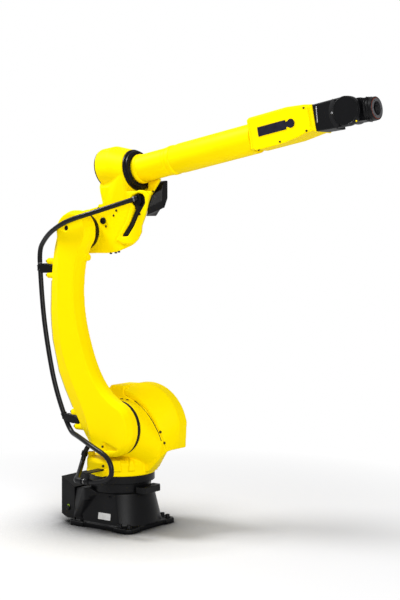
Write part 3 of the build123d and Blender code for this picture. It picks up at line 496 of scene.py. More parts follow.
# %% [markdown]
# Plates and small coloured parts: the bare plates are satin foil, the ring round the flange is a
# red-brown seal, and the earth point has a small green and yellow disc.

# %% Foils


def foil(name, colour, other, roughness):
    finish = Finish(name, Specular_IOR_Level=0.22)
    cloud = finish.noise(45.0, 4.0, 0.6)
    grain = finish.noise(1300.0, 2.0)
    finish.set(Base_Color=finish.mix(finish.steps(cloud, 0.35, 0.7), colour, other))
    finish.set(Roughness=roughness + 0.10 * cloud)
    return finish.relief(grain, 0.10, 0.1 * mm, 0.25 * mm)


plate_grey = foil("plate_grey", (0.56, 0.56, 0.55, 1), (0.66, 0.66, 0.65, 1), 0.38)
plate_dark = foil("plate_dark", (0.006, 0.005, 0.014, 1), (0.012, 0.010, 0.024, 1), 0.32)
red_seal = foil("red_seal", (0.34, 0.060, 0.028, 1), (0.22, 0.040, 0.022, 1), 0.42)
earth_green = foil("earth_disc", (0.34, 0.46, 0.02, 1), (0.24, 0.40, 0.03, 1), 0.42)
print("finishes so far", len(bpy.data.materials))

# %% [markdown]
# ## Dressing the CAD nodes
# The frame's nodes keep their shapes. Each gets the finish of its material slot, and where an
# edge is machined the finish rounds the light over it, which is lighter work than a bevel.

# %% Node finishes
finish_of = {
    "yellow_paint": yellow_edge_paint,
    "black_paint": black_paint,
    "black_plastic": black_plastic,
    "seal_rubber": seal_rubber,
    "hose_rubber": hose_rubber,
    "bracket_steel": bracket_steel,
    "flange_steel": flange_steel,
    "red_seal": red_seal,
    "plate_grey": plate_grey,
    "plate_dark": plate_dark,
}
slot_of = {}
for name, node in nodes.items():
    slot_of[name] = node.data.materials[0].name.split(".")[0]
    node.data.materials[0] = finish_of[slot_of[name]].material
print("slots used", sorted(set(slot_of.values())))

# %% [markdown]
# ## Working helpers
# An operator works on what is selected, so each step first takes exactly one piece. A modifier is
# added and applied in one go, and a finished piece is dressed: it gets its finish and the body that
# it rides on, and the nodes that it replaces are hidden.

# %% Helpers


def fresh():
    if bpy.context.object and bpy.context.object.mode != "OBJECT":
        bpy.ops.object.mode_set(mode="OBJECT")
    bpy.ops.object.select_all(action="DESELECT")


def take(piece):
    fresh()
    piece.select_set(True)
    bpy.context.view_layer.objects.active = piece


def edit(piece):
    take(piece)
    bpy.ops.object.mode_set(mode="EDIT")
    bpy.ops.mesh.select_all(action="SELECT")


def done(piece):
    bpy.ops.object.mode_set(mode="OBJECT")
    return piece


def settle(piece, kind, **settings):
    take(piece)
    modifier = piece.modifiers.new("work", kind)
    for setting, value in settings.items():
        setattr(modifier, setting, value)
    bpy.ops.object.modifier_apply(modifier=modifier.name)


def face_outwards():
    bpy.ops.mesh.select_all(action="SELECT")
    bpy.ops.mesh.normals_make_consistent(inside=False)


def body_of(name):
    return nodes[name]["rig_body"]


def dress(piece, finish, body, replaced=()):
    piece.data.materials.clear()
    piece.data.materials.append(finish.material)
    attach(piece, body)
    for node in replaced:
        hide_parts(node)
    return piece


# %% [markdown]
# ## Additions to the castings
# Where a casting flows from one form into another, the form between them is the tightest skin
# round a few corners and rings. It could be drawn face by face, but a convex hull needs only the
# corners, given in millimetres, and is always closed. The same hulls cut corners off.

# %% Hulls


def ring_of(centre, axis, radius):
    fresh()
    bpy.ops.mesh.primitive_circle_add(vertices=48, radius=radius * mm)
    ring = bpy.context.object
    ring.data.transform(standing(centre, axis))
    return ring


def hull_of(corners, rings=()):
    hull = linked("corners", bpy.data.meshes.new("corners"))
    hull.data.from_pydata([Vector(corner) * mm for corner in corners], [], [])
    take(hull)
    for ring in rings:
        ring.select_set(True)
    if rings:
        bpy.ops.object.join()
    edit(hull)
    bpy.ops.mesh.convex_hull()
    return done(hull)


def hull_between(near, y_near, far, y_far):
    return hull_of([(x, y_near, z) for x, z in near] + [(x, y_far, z) for x, z in far])


# %% [markdown]
# The head of the elbow grows out of the body below it without a step. Its neck is a hull round
# three rings of the head and a frame on top of the body. Two lips lie beside it: one under the
# ring of the head and one beside the forearm's tube.

# %% Elbow neck
neck_rings = ((108, 37, 87), (174, 27, 95), (251, 0, 89))
neck_corners = [
    (-88, -40, 1428), (-64, -62, 1406), (-20, -79, 1366), (-20, -79, 1300), (94, -79, 1384),
    (94, -79, 1330), (-138, 60, 1366), (-90, 60, 1330), (60, 70, 1396), (90, 62, 1400), (90, 60, 1376),
]


def along_forearm(along, up, y):
    return roll_place + roll_axis * along * mm + roll_up * up * mm + Vector((0, y * mm, 0))


def elbow_neck():
    rings = [ring_of(along_forearm(along, 0, y), roll_axis, radius) for along, y, radius in neck_rings]
    return hull_of(neck_corners, rings)


def elbow_lips():
    under_ring = ((86, 1376), (86, 1414), (122, 1418), (118, 1385))
    tube_near = ((121, 1396), (121, 1450), (150, 1455), (188, 1463), (145, 1396))
    tube_far = ((106, 1410), (108, 1460), (140, 1464), (158, 1466), (122, 1412))
    return [hull_between(under_ring, 30, under_ring, 70), hull_between(tube_near, 31, tube_far, 74)]


# %% [markdown]
# Behind the neck and beyond the motor's seat the body of the elbow is slimmer than its plain form,
# so two hulls are taken away there.

# %% Elbow cuts


def neck_back():
    near = ((-62, 1436), (-62, 1390), (-31, 1384), (-22, 1369), (-32, 1356), (-330, 1356), (-330, 1436))
    far = ((-200, 1436), (-174, 1386), (-165, 1370), (-175, 1359), (-330, 1359), (-330, 1436))
    return hull_between(near, -84, far, 84)


def seat_corner():
    near = ((201, 1464), (130, 1372), (330, 1372), (330, 1475), (210, 1475))
    far = ((143, 1462), (72, 1370), (330, 1370), (330, 1475), (150, 1475))
    return hull_between(near, 28, far, 97.6)


# %% [markdown]
# The drum of the column is round on the far side below the cover, so a corner of the casting goes.
# On the base, the half pillar under the lifting eye goes and a sloping gusset takes its place.

# %% Column and base
column_cut = [
    (262, -18, 331), (170, 112, 314), (272, 112, 340), (110, 112, 220), (216, 50, 316),
    (205, -18, 263), (300, 112, 200), (300, -18, 200), (300, 112, 340), (300, -18, 331),
]
pillar_cut = [
    (-98, -153, 20.6), (-48, -153, 20.6), (-98, -137.7, 20.6), (-48, -137.7, 20.6),
    (-98, -153, 112), (-48, -153, 112), (-98, -125.8, 112), (-48, -125.8, 112),
]
gusset_corners = [
    (-20, -120, 140), (-112, -136, 32), (-146, -136, 30),
    (-150, -120, 148), (-112, -120, 32), (-40, -119, 149),
]


def eye_gusset():
    rings = [ring_of(Vector((-74, -130, z)) * mm, upward, 20) for z in (126, 165)]
    return hull_of(gusset_corners, rings)


# %% [markdown]
# The rear edge of the lower arm stands further out than a plain outline gives, so a rib is added
# from station to station. A station gives the edge's x and z and the x of the fold in the outer
# face, so that the rib ends in the fold and leaves no ridge.

# %% Rear rib of the lower arm
rib_stations = [
    (-262, 1030, -203), (-264, 980, -203), (-266, 900, -201), (-262, 840, -195), (-254, 775, -185),
    (-218, 642, -139), (-184, 572, -100), (-140, 495, -56), (-108, 444, -22), (-73, 391, 8),
    (-46, 356, 30), (-6, 332, 45),
]
rib_inside, rib_edge, rib_outside = -118.6, -150, -179.7


def rear_rib():
    ribs = []
    for pair in zip(rib_stations, rib_stations[1:]):
        ribs.append(hull_of([
            corner for edge_x, z, fold_x in pair
            for corner in (
                (edge_x, rib_inside, z), (edge_x, rib_edge, z),
                (fold_x, rib_outside, z), (fold_x, rib_inside, z),
            )
        ]))
    return ribs


# %% [markdown]
# Four round bosses carry the hose clips. They are cast in one with the arm, so they are joined to
# it before its edges are softened. The tips of the plainer bosses in the CAD solid go first.

# %% Hose clip bosses
boss_radius = 14
boss_line = -135
boss_spans = ((-155, -110, 476), (-136, -80, 416), (-297, -240, 1112), (-297, -240, 1052))


def arm_boss(x_start, x_end, z):
    fresh()
    length = (x_end - x_start) * mm
    middle = Vector(((x_start + x_end) / 2, boss_line, z)) * mm
    bpy.ops.mesh.primitive_cylinder_add(vertices=40, radius=boss_radius * mm, depth=length)
    boss = bpy.context.object
    boss.data.transform(Matrix.Translation(middle) @ Matrix.Rotation(pi / 2, 4, "Y"))
    return boss


def boss_tips():
    lower = hull_of([(x, y, z) for x in (-153, -134) for y in (-152, -118) for z in (404, 437)])
    upper = hull_of([(x, y, z) for x in (-304, -297) for y in (-152, -118) for z in (1030, 1130)])
    return [lower, upper]


# %% [markdown]
# The underside of the wrist housing and the far arm of the yoke end along lines that are read from
# the photograph at the depth of their far edge. All that lies below such a line is cut away.

# %% Undersides of the wrist
housing_underside = ((244.0, 157.5), (262.0, 152.6), (306.0, 141.2), (331.0, 131.5))
yoke_underside = ((322.0, 134.2), (349.0, 125.6), (372.0, 121.4), (392.0, 118.6))


def below_line(pixels, depth, y_near, y_far, drop):
    corners = [at_depth(px, py, depth) / mm for px, py in pixels]
    cuts = []
    for pair in zip(corners, corners[1:]):
        cuts.append(hull_of([
            (corner.x, y, corner.z - fall)
            for corner in pair for y in (y_near, y_far) for fall in (0, drop)
        ]))
    return cuts


# %% [markdown]
# ## Soft-edged castings
# A sand casting has no sharp edge: every corner is rounded by a few millimetres, and so are the
# roots where two forms meet. Bevelling each edge of a form with a hundred faces that cross at odd
# angles tears the mesh. So the copy of the node is rebuilt in small cubes and then smoothed, which
# rounds all its corners alike and leaves the flat faces flat.

# %% Soft casting


def take_away(piece, tool):
    settle(piece, "BOOLEAN", operation="DIFFERENCE", solver="EXACT", object=tool)
    bpy.data.objects.remove(tool)


def soften(piece, cube, passes):
    settle(piece, "REMESH", mode="VOXEL", voxel_size=cube * mm)
    settle(piece, "SMOOTH", factor=0.5, iterations=passes)
    bpy.ops.object.shade_smooth()


def soft_casting(name, finish, cube, passes, additions=(), removals=()):
    casting = linked("cast_" + name, nodes[name].data.copy())
    edit(casting)
    bpy.ops.mesh.remove_doubles(threshold=0.02 * mm)
    done(casting)
    for removal in removals:
        take_away(casting, removal)
    if additions:
        take(casting)
        for addition in additions:
            addition.select_set(True)
        bpy.ops.object.join()
    soften(casting, cube, passes)
    dress(casting, finish, body_of(name), [name])
    surfaces[name] = surface_of(casting.data)
    print(casting.name, len(casting.data.polygons), "faces")
    return casting


# %% [markdown]
# The base, the column and the cover of the shoulder take cubes of about 3 mm. Finer cubes would
# only add faces, because the corners of these castings are rounded by more than that.

# %% Castings of the base and the column
soft_casting("base_casting", black_cast_paint, 2.9, 2, [eye_gusset()], [hull_of(pillar_cut)])
soft_casting("column_casting", yellow_paint, 3.1, 4, removals=[hull_of(column_cut)])
soft_casting("shoulder_cover", yellow_paint, 3.0, 2)

# %% [markdown]
# The lower arm is the longest casting and has the softest edges, so its cubes are the largest. The
# head of the elbow gets its neck and its lips before it is softened, so that they flow into it.

# %% Castings of the arm
arm_bosses = [arm_boss(*span) for span in boss_spans]
soft_casting("lower_arm", yellow_paint, 3.5, 4, rear_rib() + arm_bosses, boss_tips())
elbow_additions = [elbow_neck()] + elbow_lips()
soft_casting("elbow_housing", yellow_paint, 3.0, 4, elbow_additions, [neck_back(), seat_corner()])

# %% [markdown]
# The castings of the wrist are small and machined on several sides, so finer cubes keep their
# corners crisp. The cover of the motor is moulded plastic and needs one pass of smoothing only.

# %% Castings of the wrist
housing_cuts = below_line(housing_underside, depth=62, y_near=-70, y_far=70, drop=70)
soft_casting("wrist_housing", yellow_paint, 2.4, 4, removals=housing_cuts)
yoke_cuts = below_line(yoke_underside, depth=60, y_near=33, y_far=64, drop=60)
soft_casting("wrist_yoke", black_cast_paint, 1.8, 2, removals=yoke_cuts)
soft_casting("roll_motor_cover", black_plastic, 2.3, 1)

# %% [markdown]
# ## Rings and discs
# Seals, guards and tubes are round. A cylinder with cuts would need a cut for each groove, so each
# is one outline instead, given as radius and height in millimetres and spun about its axis. An
# outline that starts on the axis makes a disc.

# %% Spun pieces
spin_steps = 96
soft_angle = radians(32)


def spun(name, outline, centre, axis, finish, body, replaced=(), turn_angle=2 * pi, first=0.0):
    outline_mesh = bpy.data.meshes.new(name)
    count = len(outline)
    on_axis = outline[0][0] == 0
    edges = [(i, (i + 1) % count) for i in range(count - 1 if on_axis else count)]
    corners = [(r * cos(first) * mm, r * sin(first) * mm, h * mm) for r, h in outline]
    outline_mesh.from_pydata(corners, edges, [])
    piece = linked(name, outline_mesh)
    edit(piece)
    bpy.ops.mesh.spin(steps=spin_steps, angle=turn_angle, center=(0, 0, 0), axis=(0, 0, 1))
    bpy.ops.mesh.select_all(action="SELECT")
    bpy.ops.mesh.remove_doubles(threshold=0.01 * mm)
    bpy.ops.mesh.select_all(action="SELECT")
    bpy.ops.mesh.fill_holes(sides=0)
    bpy.ops.mesh.normals_make_consistent(inside=False)
    done(piece)
    bpy.ops.object.shade_smooth_by_angle(angle=soft_angle)
    piece.data.transform(standing(centre, axis))
    dress(piece, finish, body, replaced)
    print(name, len(piece.data.polygons), "faces")
    return piece


# %% [markdown]
# The shoulder has a black seal as wide as the gap between arm and column, with a groove round its
# middle.

# %% Shoulder seal
shoulder_outline = [
    (98, 98.4), (111.6, 98.4), (112.6, 99.4), (112.6, 106.6), (111.2, 107.6), (112.6, 108.6),
    (112.6, 116.6), (111.6, 117.6), (98, 117.6),
]
spun(
    "shoulder_seal_ring", shoulder_outline, shoulder_place, nearer,
    seal_rubber, "column", ["shoulder_seal"],
)

# %% [markdown]
# The head of the elbow carries a glossy ring in two steps, and the long tube has a collar beside
# it, a soft step and then its larger front part.

# %% Head ring and forearm tube
head_outline = [
    (60, 254.6), (86, 254.6), (88.4, 257), (88.4, 262), (86.4, 265), (83, 266), (81.6, 268),
    (81.6, 274), (79, 278), (74, 279), (72.4, 277), (69, 277), (67.4, 279), (64.4, 279),
    (63.2, 276), (60, 276),
]
spun(
    "roll_ring_stepped", head_outline, roll_place, roll_axis,
    black_plastic, "elbow", ["roll_ring"],
)
tube_outline = [
    (48, 256), (58.2, 256), (58.4, 280.5), (61.6, 281), (62.6, 282.4), (62.6, 295), (61.6, 296.6),
    (58.8, 298.4), (58.5, 434), (57, 436), (57, 438), (59.4, 440), (59.4, 453), (58.2, 455),
    (58.2, 456.6), (62.2, 459), (62.2, 475), (59, 478.4), (59, 480.6), (60.2, 483), (60.2, 503),
    (62, 507), (62, 887.4), (48, 887.4),
]
spun(
    "forearm_tube", tube_outline, roll_place, roll_axis,
    yellow_paint, "forearm", ["forearm_rear_tube", "forearm_front_tube"],
)

# %% [markdown]
# At the wrist the near cover is a plain black disc with a crisp rim, and the far one is smaller.

# %% Yoke discs
near_disc = [
    (0, 60.4), (56, 60.4), (56, 66.4), (54.8, 68.4), (53, 69), (51.8, 68.2), (51.2, 67.2), (0, 67.2),
]
spun(
    "yoke_disc_near", near_disc, bend_place, nearer,
    black_plastic, "forearm", ["yoke_cover_near"],
)
far_disc = [(0, 60.4), (33, 60.4), (33, 64), (31.6, 65.4), (30, 65.4), (29, 64.4), (0, 64.4)]
spun(
    "yoke_disc_far", far_disc, bend_place, farther,
    black_plastic, "forearm", ["yoke_cover_far"],
)

# %% [markdown]
# The yoke leads up to the near disc in a cone that faces the forearm, which shows as a grey
# crescent. It is spun through a part of a turn only, half of it on each side of the forearm's line.

# %% Yoke cone
cone_outline = [(56.8, 60), (76, 60), (57.6, 65.6), (56.8, 65.6)]
cone_angle = radians(100)
root_angle = pi + atan2(roll_axis.z, roll_axis.x)
spun(
    "yoke_cone", cone_outline, bend_place, nearer, bracket_steel, "forearm",
    turn_angle=cone_angle, first=cone_angle / 2 + root_angle,
)

# %% [markdown]
# Round the tool flange lie a grooved collar, a guard and a thin red seal. Their heights are counted
# from the wrist's bending axis, so the collar keeps clear of the yoke when the wrist bends.

# %% Flange rings
red_outline = [(38.4, 93), (40.2, 93), (40.2, 97.4), (39.8, 97.9), (38.8, 97.9), (38.4, 97.4)]
spun(
    "flange_red_ring", red_outline, bend_place, flange_axis,
    red_seal, "wrist", ["flange_seal"],
)
collar_outline = [
    (39.5, 62.8), (46, 62.8), (47.4, 64.2), (47.4, 68), (46, 69.4), (44.6, 70.4), (44.6, 75), (46, 76),
    (46, 81), (45, 82), (39.5, 82),
]
spun("nose_collar", collar_outline, bend_place, flange_axis, black_plastic, "wrist")
guard_outline = [(40.5, 92.9), (44.6, 92.9), (44.6, 97), (43.4, 98.4), (41.2, 98.4), (40.5, 97.7)]
spun("flange_guard", guard_outline, bend_place, flange_axis, black_plastic, "wrist")

# %% [markdown]
# ## Hose clips
# Each clip is a ribbed band round the hose and a moulded block that reaches back to the arm between
# two bosses. The band is spun, and the block is a hull that is softened as the castings are.

# %% Blocks


def block(corners, y_near, y_far):
    return hull_of([(x, y, z) for x, z in corners for y in (y_near, y_far)])


def solid_from(name, parts, cube, passes, finish, body, replaced=()):
    piece = parts[0]
    take(piece)
    for other in parts[1:]:
        other.select_set(True)
    if len(parts) > 1:
        bpy.ops.object.join()
    piece.name = name
    soften(piece, cube, passes)
    dress(piece, finish, body, replaced)
    print(name, len(piece.data.polygons), "faces")
    return piece


# %% [markdown]
# The arm has an upper and a lower clip of one kind. Each pair of band and block is described by its
# place, the direction of the hose in it and the outline of its block, seen from the side.

# %% Clips on the arm
block_near, block_far = -146, -121
band_outline = [
    (10.7, -12), (13.2, -12), (13.6, -11), (13.6, -8), (12.5, -7), (12.5, 7), (13.6, 8), (13.6, 11),
    (13.2, 12), (10.7, 12),
]
upper_block = [
    (-337, 1070), (-337, 1094), (-318, 1102), (-284, 1098), (-268, 1094), (-268, 1066), (-284, 1062),
    (-318, 1060),
]
lower_block = [(-198, 448), (-190, 466), (-170, 464), (-118, 456), (-112, 428), (-150, 428), (-186, 434)]
arm_clips = (
    ("upper", (-345.6, -133, 1082), (-12, 0, 172), upper_block),
    ("lower", (-203.8, -133, 455), (-33, 0, 66.6), lower_block),
)
for which, band_place, band_axis, _ in arm_clips:
    spun(
        which + "_clip_band", band_outline, Vector(band_place) * mm, Vector(band_axis).normalized(),
        black_plastic, "lower_arm",
    )
for which, _, _, block_corners in arm_clips:
    solid_from(
        which + "_clip_block", [block(block_corners, block_near, block_far)], 1.4, 3,
        black_plastic, "lower_arm", [which + "_hose_clip"],
    )

# %% [markdown]
# The clip beside the column has the same band, and a flat strap holds it from above.

# %% Clip on the column
column_band_place = Vector((21, -240, 214)) * mm
spun(
    "column_clip_band", band_outline, column_band_place, Vector((1, 0, 0)),
    black_plastic, "column",
)
strap_corners = [(14, 224), (28, 224), (28, 250), (14, 250)]
solid_from(
    "column_clip_strap", [block(strap_corners, -246, -234)], 1.2, 2,
    black_plastic, "column", ["column_hose_clip"],
)

# %% [markdown]
# A thin pale strip of coated steel covers the cable channel along the arm's rear edge. Its dull
# yellow colour is painted shade and a painted reflection of the yellow arm beside it. It follows
# the same stations as the rib.

# %% Rear strip
# Painted shade and reflection: the strip's base colour is a dull yellow, not plain steel grey.
strip_shade_and_reflection = Finish("strip_painted_shade_and_reflection", Metallic=0.35, Specular_IOR_Level=0.3)
strip_cloud = strip_shade_and_reflection.noise(30.0, 4.0, 0.6)
strip_shade_and_reflection.set(Base_Color=strip_shade_and_reflection.mix(strip_cloud, (0.50, 0.40, 0.12, 1), (0.62, 0.50, 0.16, 1)))
strip_shade_and_reflection.set(Roughness=0.38 + 0.2 * strip_cloud)
strip_shade_and_reflection.relief(strip_shade_and_reflection.noise(300.0), 0.15, 0.2 * mm)
strip_parts = [
    hull_of([(x + reach, y, z) for x, z, _ in pair for reach in (-7, 4) for y in (-147, -121)])
    for pair in zip(rib_stations[:8], rib_stations[1:8])
]
solid_from(
    "rear_strip", strip_parts, 1.8, 2, strip_shade_and_reflection, "lower_arm", ["arm_rear_cover"]
)

# %% [markdown]
# ## Hoses
# One hose package leaves the column, loops forward beside it, climbs the rear of the lower arm and
# crosses to the elbow. It is stiff conduit held by clips, so each run is a smooth line through the
# same points as in the CAD model. Two of the runs cross a joint and are fixed in place, on no body.

# %% Routes
hose_radius = 10.5 * mm
hose_line = -133.0
outlet_route = [(-58, -212, 219), (-136, -103, 238), (-106, -95, 345), (-52, -46, 392)]
loop_route = [
    (-8, -240, 214),
    (150, -240, 214),
    (150, -236, 318),
    (20, -222, 362),
    (-85, -180, 384),
    (-171.3, hose_line, 389.3),
    (-204.3, hose_line, 455.9),
]
arm_route = [
    (-204.6, hose_line, 456.5),
    (-252, hose_line, 552),
    (-300, hose_line, 735),
    (-335, hose_line, 930),
    (-347, hose_line, 1102),
]
elbow_route = [
    (-347.05, hose_line, 1102.6),
    (-351, hose_line, 1158),
    (-300, -156, 1204),
    (-222, -191, 1245),
    (-120, -208, 1287),
    (20, -197, 1322),
    (174, -102, 1381),
]

# %% [markdown]
# A curve object carries the smooth line. Its points are kept as the route of the cord, and then
# the curve is thickened to a tube and made a mesh.

# %% Hose helpers
hose_places = {}


def smooth_line(name, route):
    curve = bpy.data.curves.new(name, "CURVE")
    curve.dimensions = "3D"
    spline = curve.splines.new("NURBS")
    spline.points.add(len(route) - 1)
    for point, place in zip(spline.points, route):
        point.co = (*(Vector(place) * mm), 1.0)
    spline.order_u = 3
    spline.use_endpoint_u = True
    curve.resolution_u = 20
    return linked(name, curve)


def points_along(run):
    line = bpy.data.meshes.new_from_object(run)
    places = [vertex.co.copy() for vertex in line.vertices]
    bpy.data.meshes.remove(line)
    return places


def thickened(run, radius, rounding, finish):
    run.data.bevel_depth = radius
    run.data.bevel_resolution = rounding
    run.data.use_fill_caps = True
    take(run)
    bpy.ops.object.convert(target="MESH")
    tube = bpy.context.object
    tube.data.materials.clear()
    tube.data.materials.append(finish.material)
    bpy.ops.object.shade_smooth_by_angle(angle=radians(40))
    return tube


def hose_run(node, route):
    line = smooth_line("run_" + node, route)
    places = points_along(line)
    run = thickened(line, hose_radius, 6, hose_rubber)
    hose_places[node] = places
    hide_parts(node)
    return run


# %% [markdown]
# The outlet stays with the column and the long run with the lower arm. The loop and the span to the
# elbow each cross a joint; they are tied to no body and stay where they are.

# %% Hose runs
outlet_hose = hose_run("hose_outlet", outlet_route)
loop_hose = hose_run("hose_loop", loop_route)
arm_hose = hose_run("hose_arm_run", arm_route)
elbow_hose = hose_run("hose_elbow_span", elbow_route)
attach(outlet_hose, "column")
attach(arm_hose, "lower_arm")
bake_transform(loop_hose)
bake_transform(elbow_hose)

# %% [markdown]
# ## Slot boot with painted shade, and cable bundle
# The hose ends in a rubber boot that rounds the top of the slot; its black also stands in as painted
# shade for the shaded inner wall of the slot's rim. Its outline is followed in the photograph, set on
# a plane of given depth and pushed back into the slot.

# %% Boot and painted shade
# Painted shade: the dark boot fills the outline of the shaded inner wall at the top of the slot.
boot_and_shade_depth = -95
boot_and_shade_thickness = 22
boot_and_shade_pixels = [
    (130.6, 197.6), (134.0, 195.4), (138.4, 194.6), (142.0, 195.8), (144.6, 198.4), (145.4, 202.0),
    (144.2, 206.4), (141.0, 211.6), (137.6, 212.2), (134.2, 208.0), (132.8, 203.4),
]


def pushed_back(front, start, end):
    return [point + Vector((0, step, 0)) for point in front for step in (start, end)]


boot_and_shade_front = [at_depth(px, py, boot_and_shade_depth) / mm for px, py in boot_and_shade_pixels]
boot_and_shade_parts = [hull_of(pushed_back(boot_and_shade_front, 0, boot_and_shade_thickness))]
solid_from("slot_boot_and_painted_shade", boot_and_shade_parts, 1.8, 5, boot_rubber, "elbow")

# %% [markdown]
# A taped bundle of cables runs on down the slot. Three cables of different thickness, one partly
# behind the other, give its broken outline.

# %% Cable bundle


def cable(name, places, radius, finish, body):
    line = smooth_line(name, [place / mm for place in places])
    return dress(thickened(line, radius * mm, 5, finish), finish, body)


bundle = (
    ([(140.5, 207), (137.6, 214), (133.6, 222), (128.6, 230), (124.4, 235.4)], -84, 10.5, boot_rubber),
    ([(136.0, 206), (133.4, 213), (129.8, 221), (125.8, 229), (122.6, 234)], -82, 7.0, hose_rubber),
    ([(141.4, 211), (139.2, 217), (136.2, 222), (132.6, 227), (127.6, 233)], -83, 6.0, seal_rubber),
)
for number, (pixels, depth, radius, finish) in enumerate(bundle, 1):
    cable_places = [at_depth(px, py, depth) for px, py in pixels]
    cable(f"bundle_cable_{number}", cable_places, radius, finish, "elbow")
print("cables in the slot", len(bundle))

# %% [markdown]
# A thin dark joint shows where the shoulder cover meets the casting. A groove cut in both would be
# lost when the castings are softened, so a thin bead is laid along the surface that each sight line
# meets first.

# %% Cover joint
joint_bead_radius = 1.7
joint_pixels = (
    (134.5, 400.9), (139, 404.6), (143.6, 409.1), (148, 414.6), (152, 420.4), (155.4, 426.6),
    (158.5, 433), (161.4, 441),
)


def first_surface(carriers, px, py):
    hits = [met_by(carrier, camera_place, sight_line(px, py)) for carrier in carriers]
    return min((hit[0] for hit in hits if hit), key=lambda point: (point - camera_place).length)


joint_places = [first_surface(["column_casting", "shoulder_cover"], px, py) for px, py in joint_pixels]
cable("cover_joint_line", joint_places, joint_bead_radius, seal_rubber, "column")
print("joint points", len(joint_places))

# %% [markdown]
# ## Screws
# A socket screw is a short cylinder with a rounded rim and a six-sided hole. One is modelled at
# unit size, and each place gets its own copy, scaled to the screw and turned to stand on the face.
# Faces and edges are chosen in code, by their place, normal or open side, as a hand would pick them.

# %% Choosing faces and edges


def choose_faces(test):
    bpy.ops.mesh.select_mode(type="FACE")
    bpy.ops.mesh.select_all(action="DESELECT")
    mesh = bmesh.from_edit_mesh(bpy.context.object.data)
    for face in mesh.faces:
        if test(face.calc_center_median(), face.normal):
            face.select_set(True)
    bmesh.update_edit_mesh(bpy.context.object.data)


def choose_open_edges():
    bpy.ops.mesh.select_mode(type="EDGE")
    bpy.ops.mesh.select_all(action="DESELECT")
    mesh = bmesh.from_edit_mesh(bpy.context.object.data)
    for edge in mesh.edges:
        if len(edge.link_faces) < 2:
            edge.select_set(True)
    bmesh.update_edit_mesh(bpy.context.object.data)


# %% [markdown]
# The rim is bevelled and the top is inset. The open rim of the inset is then bridged to a six-sided
# circle that is pushed down to make the socket.

# %% Socket screw
pattern_angle = radians(35)


def on_top(centre, normal):
    return normal.z > 0.95 and centre.z > 0.9


def socket_screw():
    fresh()
    bpy.ops.mesh.primitive_cylinder_add(vertices=24, radius=1.0, depth=1.3, location=(0, 0, 0.35))
    screw = bpy.context.object
    bpy.ops.object.transform_apply(location=True)
    edit(screw)
    choose_faces(on_top)
    bpy.ops.mesh.bevel(offset=0.14, segments=3, affect="EDGES")
    choose_faces(on_top)
    bpy.ops.mesh.inset(thickness=0.22)
    bpy.ops.mesh.delete(type="ONLY_FACE")
    bpy.ops.mesh.select_all(action="DESELECT")
    bpy.ops.mesh.primitive_circle_add(vertices=6, radius=0.5, location=(0, 0, 1.0))
    choose_open_edges()
    bpy.ops.mesh.bridge_edge_loops()
    choose_open_edges()
    bpy.ops.mesh.extrude_region_move(TRANSFORM_OT_translate={"value": (0, 0, -0.55)})
    bpy.ops.mesh.edge_face_add()
    face_outwards()
    done(screw)
    bpy.ops.object.shade_smooth_by_angle(angle=pattern_angle)
    screw.name = "screw_pattern"
    return screw


screw_pattern = socket_screw()
print("screw pattern", len(screw_pattern.data.polygons), "faces")

# %% [markdown]
# A washer starts as a flat cylinder. Its top and bottom are inset and the two inner rims are
# bridged, which makes the hole, and a small bevel takes the sharpness off.

# %% Washer


def washer_ring():
    fresh()
    bpy.ops.mesh.primitive_cylinder_add(vertices=32, radius=1.0, depth=0.25, location=(0, 0, 0.125))
    washer = bpy.context.object
    bpy.ops.object.transform_apply(location=True)
    edit(washer)
    choose_faces(lambda centre, normal: abs(normal.z) > 0.9)
    bpy.ops.mesh.inset(thickness=0.42)
    bpy.ops.mesh.bridge_edge_loops()
    face_outwards()
    done(washer)
    settle(washer, "BEVEL", width=0.03, segments=2, limit_method="ANGLE", angle_limit=radians(50))
    take(washer)
    bpy.ops.object.shade_smooth_by_angle(angle=pattern_angle)
    return washer


washer_pattern = washer_ring()
print("washer pattern", len(washer_pattern.data.polygons), "faces")

# %% [markdown]
# A copy has its own mesh. Its place, turn and size go into the mesh, and its object stays at the
# origin. Sizes are radius and height in millimetres.

# %% Place a copy


def set_on(pattern, name, place, outward, size, height, body, finish=black_screw):
    copied = linked(name, pattern.data.copy())
    scale = Matrix.Diagonal((size * mm, size * mm, height * mm, 1.0))
    copied.data.transform(standing(place, outward) @ scale)
    return dress(copied, finish, body)


# %% [markdown]
# The foot plate is bolted to the floor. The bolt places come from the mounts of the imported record,
# and a place that the casting covers gets no screw.

# %% Foot screws and washers
mounts = {mount["name"]: mount for mount in frame["record"]["mounts"]}
foot_top = 20 * mm
washer_thickness = 2.5 * mm
screw_count = 0
for pattern_name in ("base_bolts_inner", "base_bolts_outer"):
    middle = Vector(mounts[pattern_name]["pos_m"])
    spread_x = mounts[pattern_name]["dims"]["spacing_x_mm"] * mm / 2
    spread_y = mounts[pattern_name]["dims"]["spacing_y_mm"] * mm / 2
    for side_x in (-1, 1):
        for side_y in (-1, 1):
            place = Vector((middle.x + side_x * spread_x, side_y * spread_y, foot_top))
            if met_by("base_casting", place + upward * mm, upward):
                continue
            screw_count += 1
            set_on(washer_pattern, f"foot_washer_{screw_count}", place, upward, 13, 10, "base")
            head = place + upward * washer_thickness
            set_on(screw_pattern, f"foot_screw_{screw_count}", head, upward, 9.5, 11, "base")
print("foot screws", screw_count)

# %% [markdown]
# The other screws that the photograph shows are small dark heads. Each is found by its pixel, sunk
# a little into the paint and turned to stand on the face that carries it.

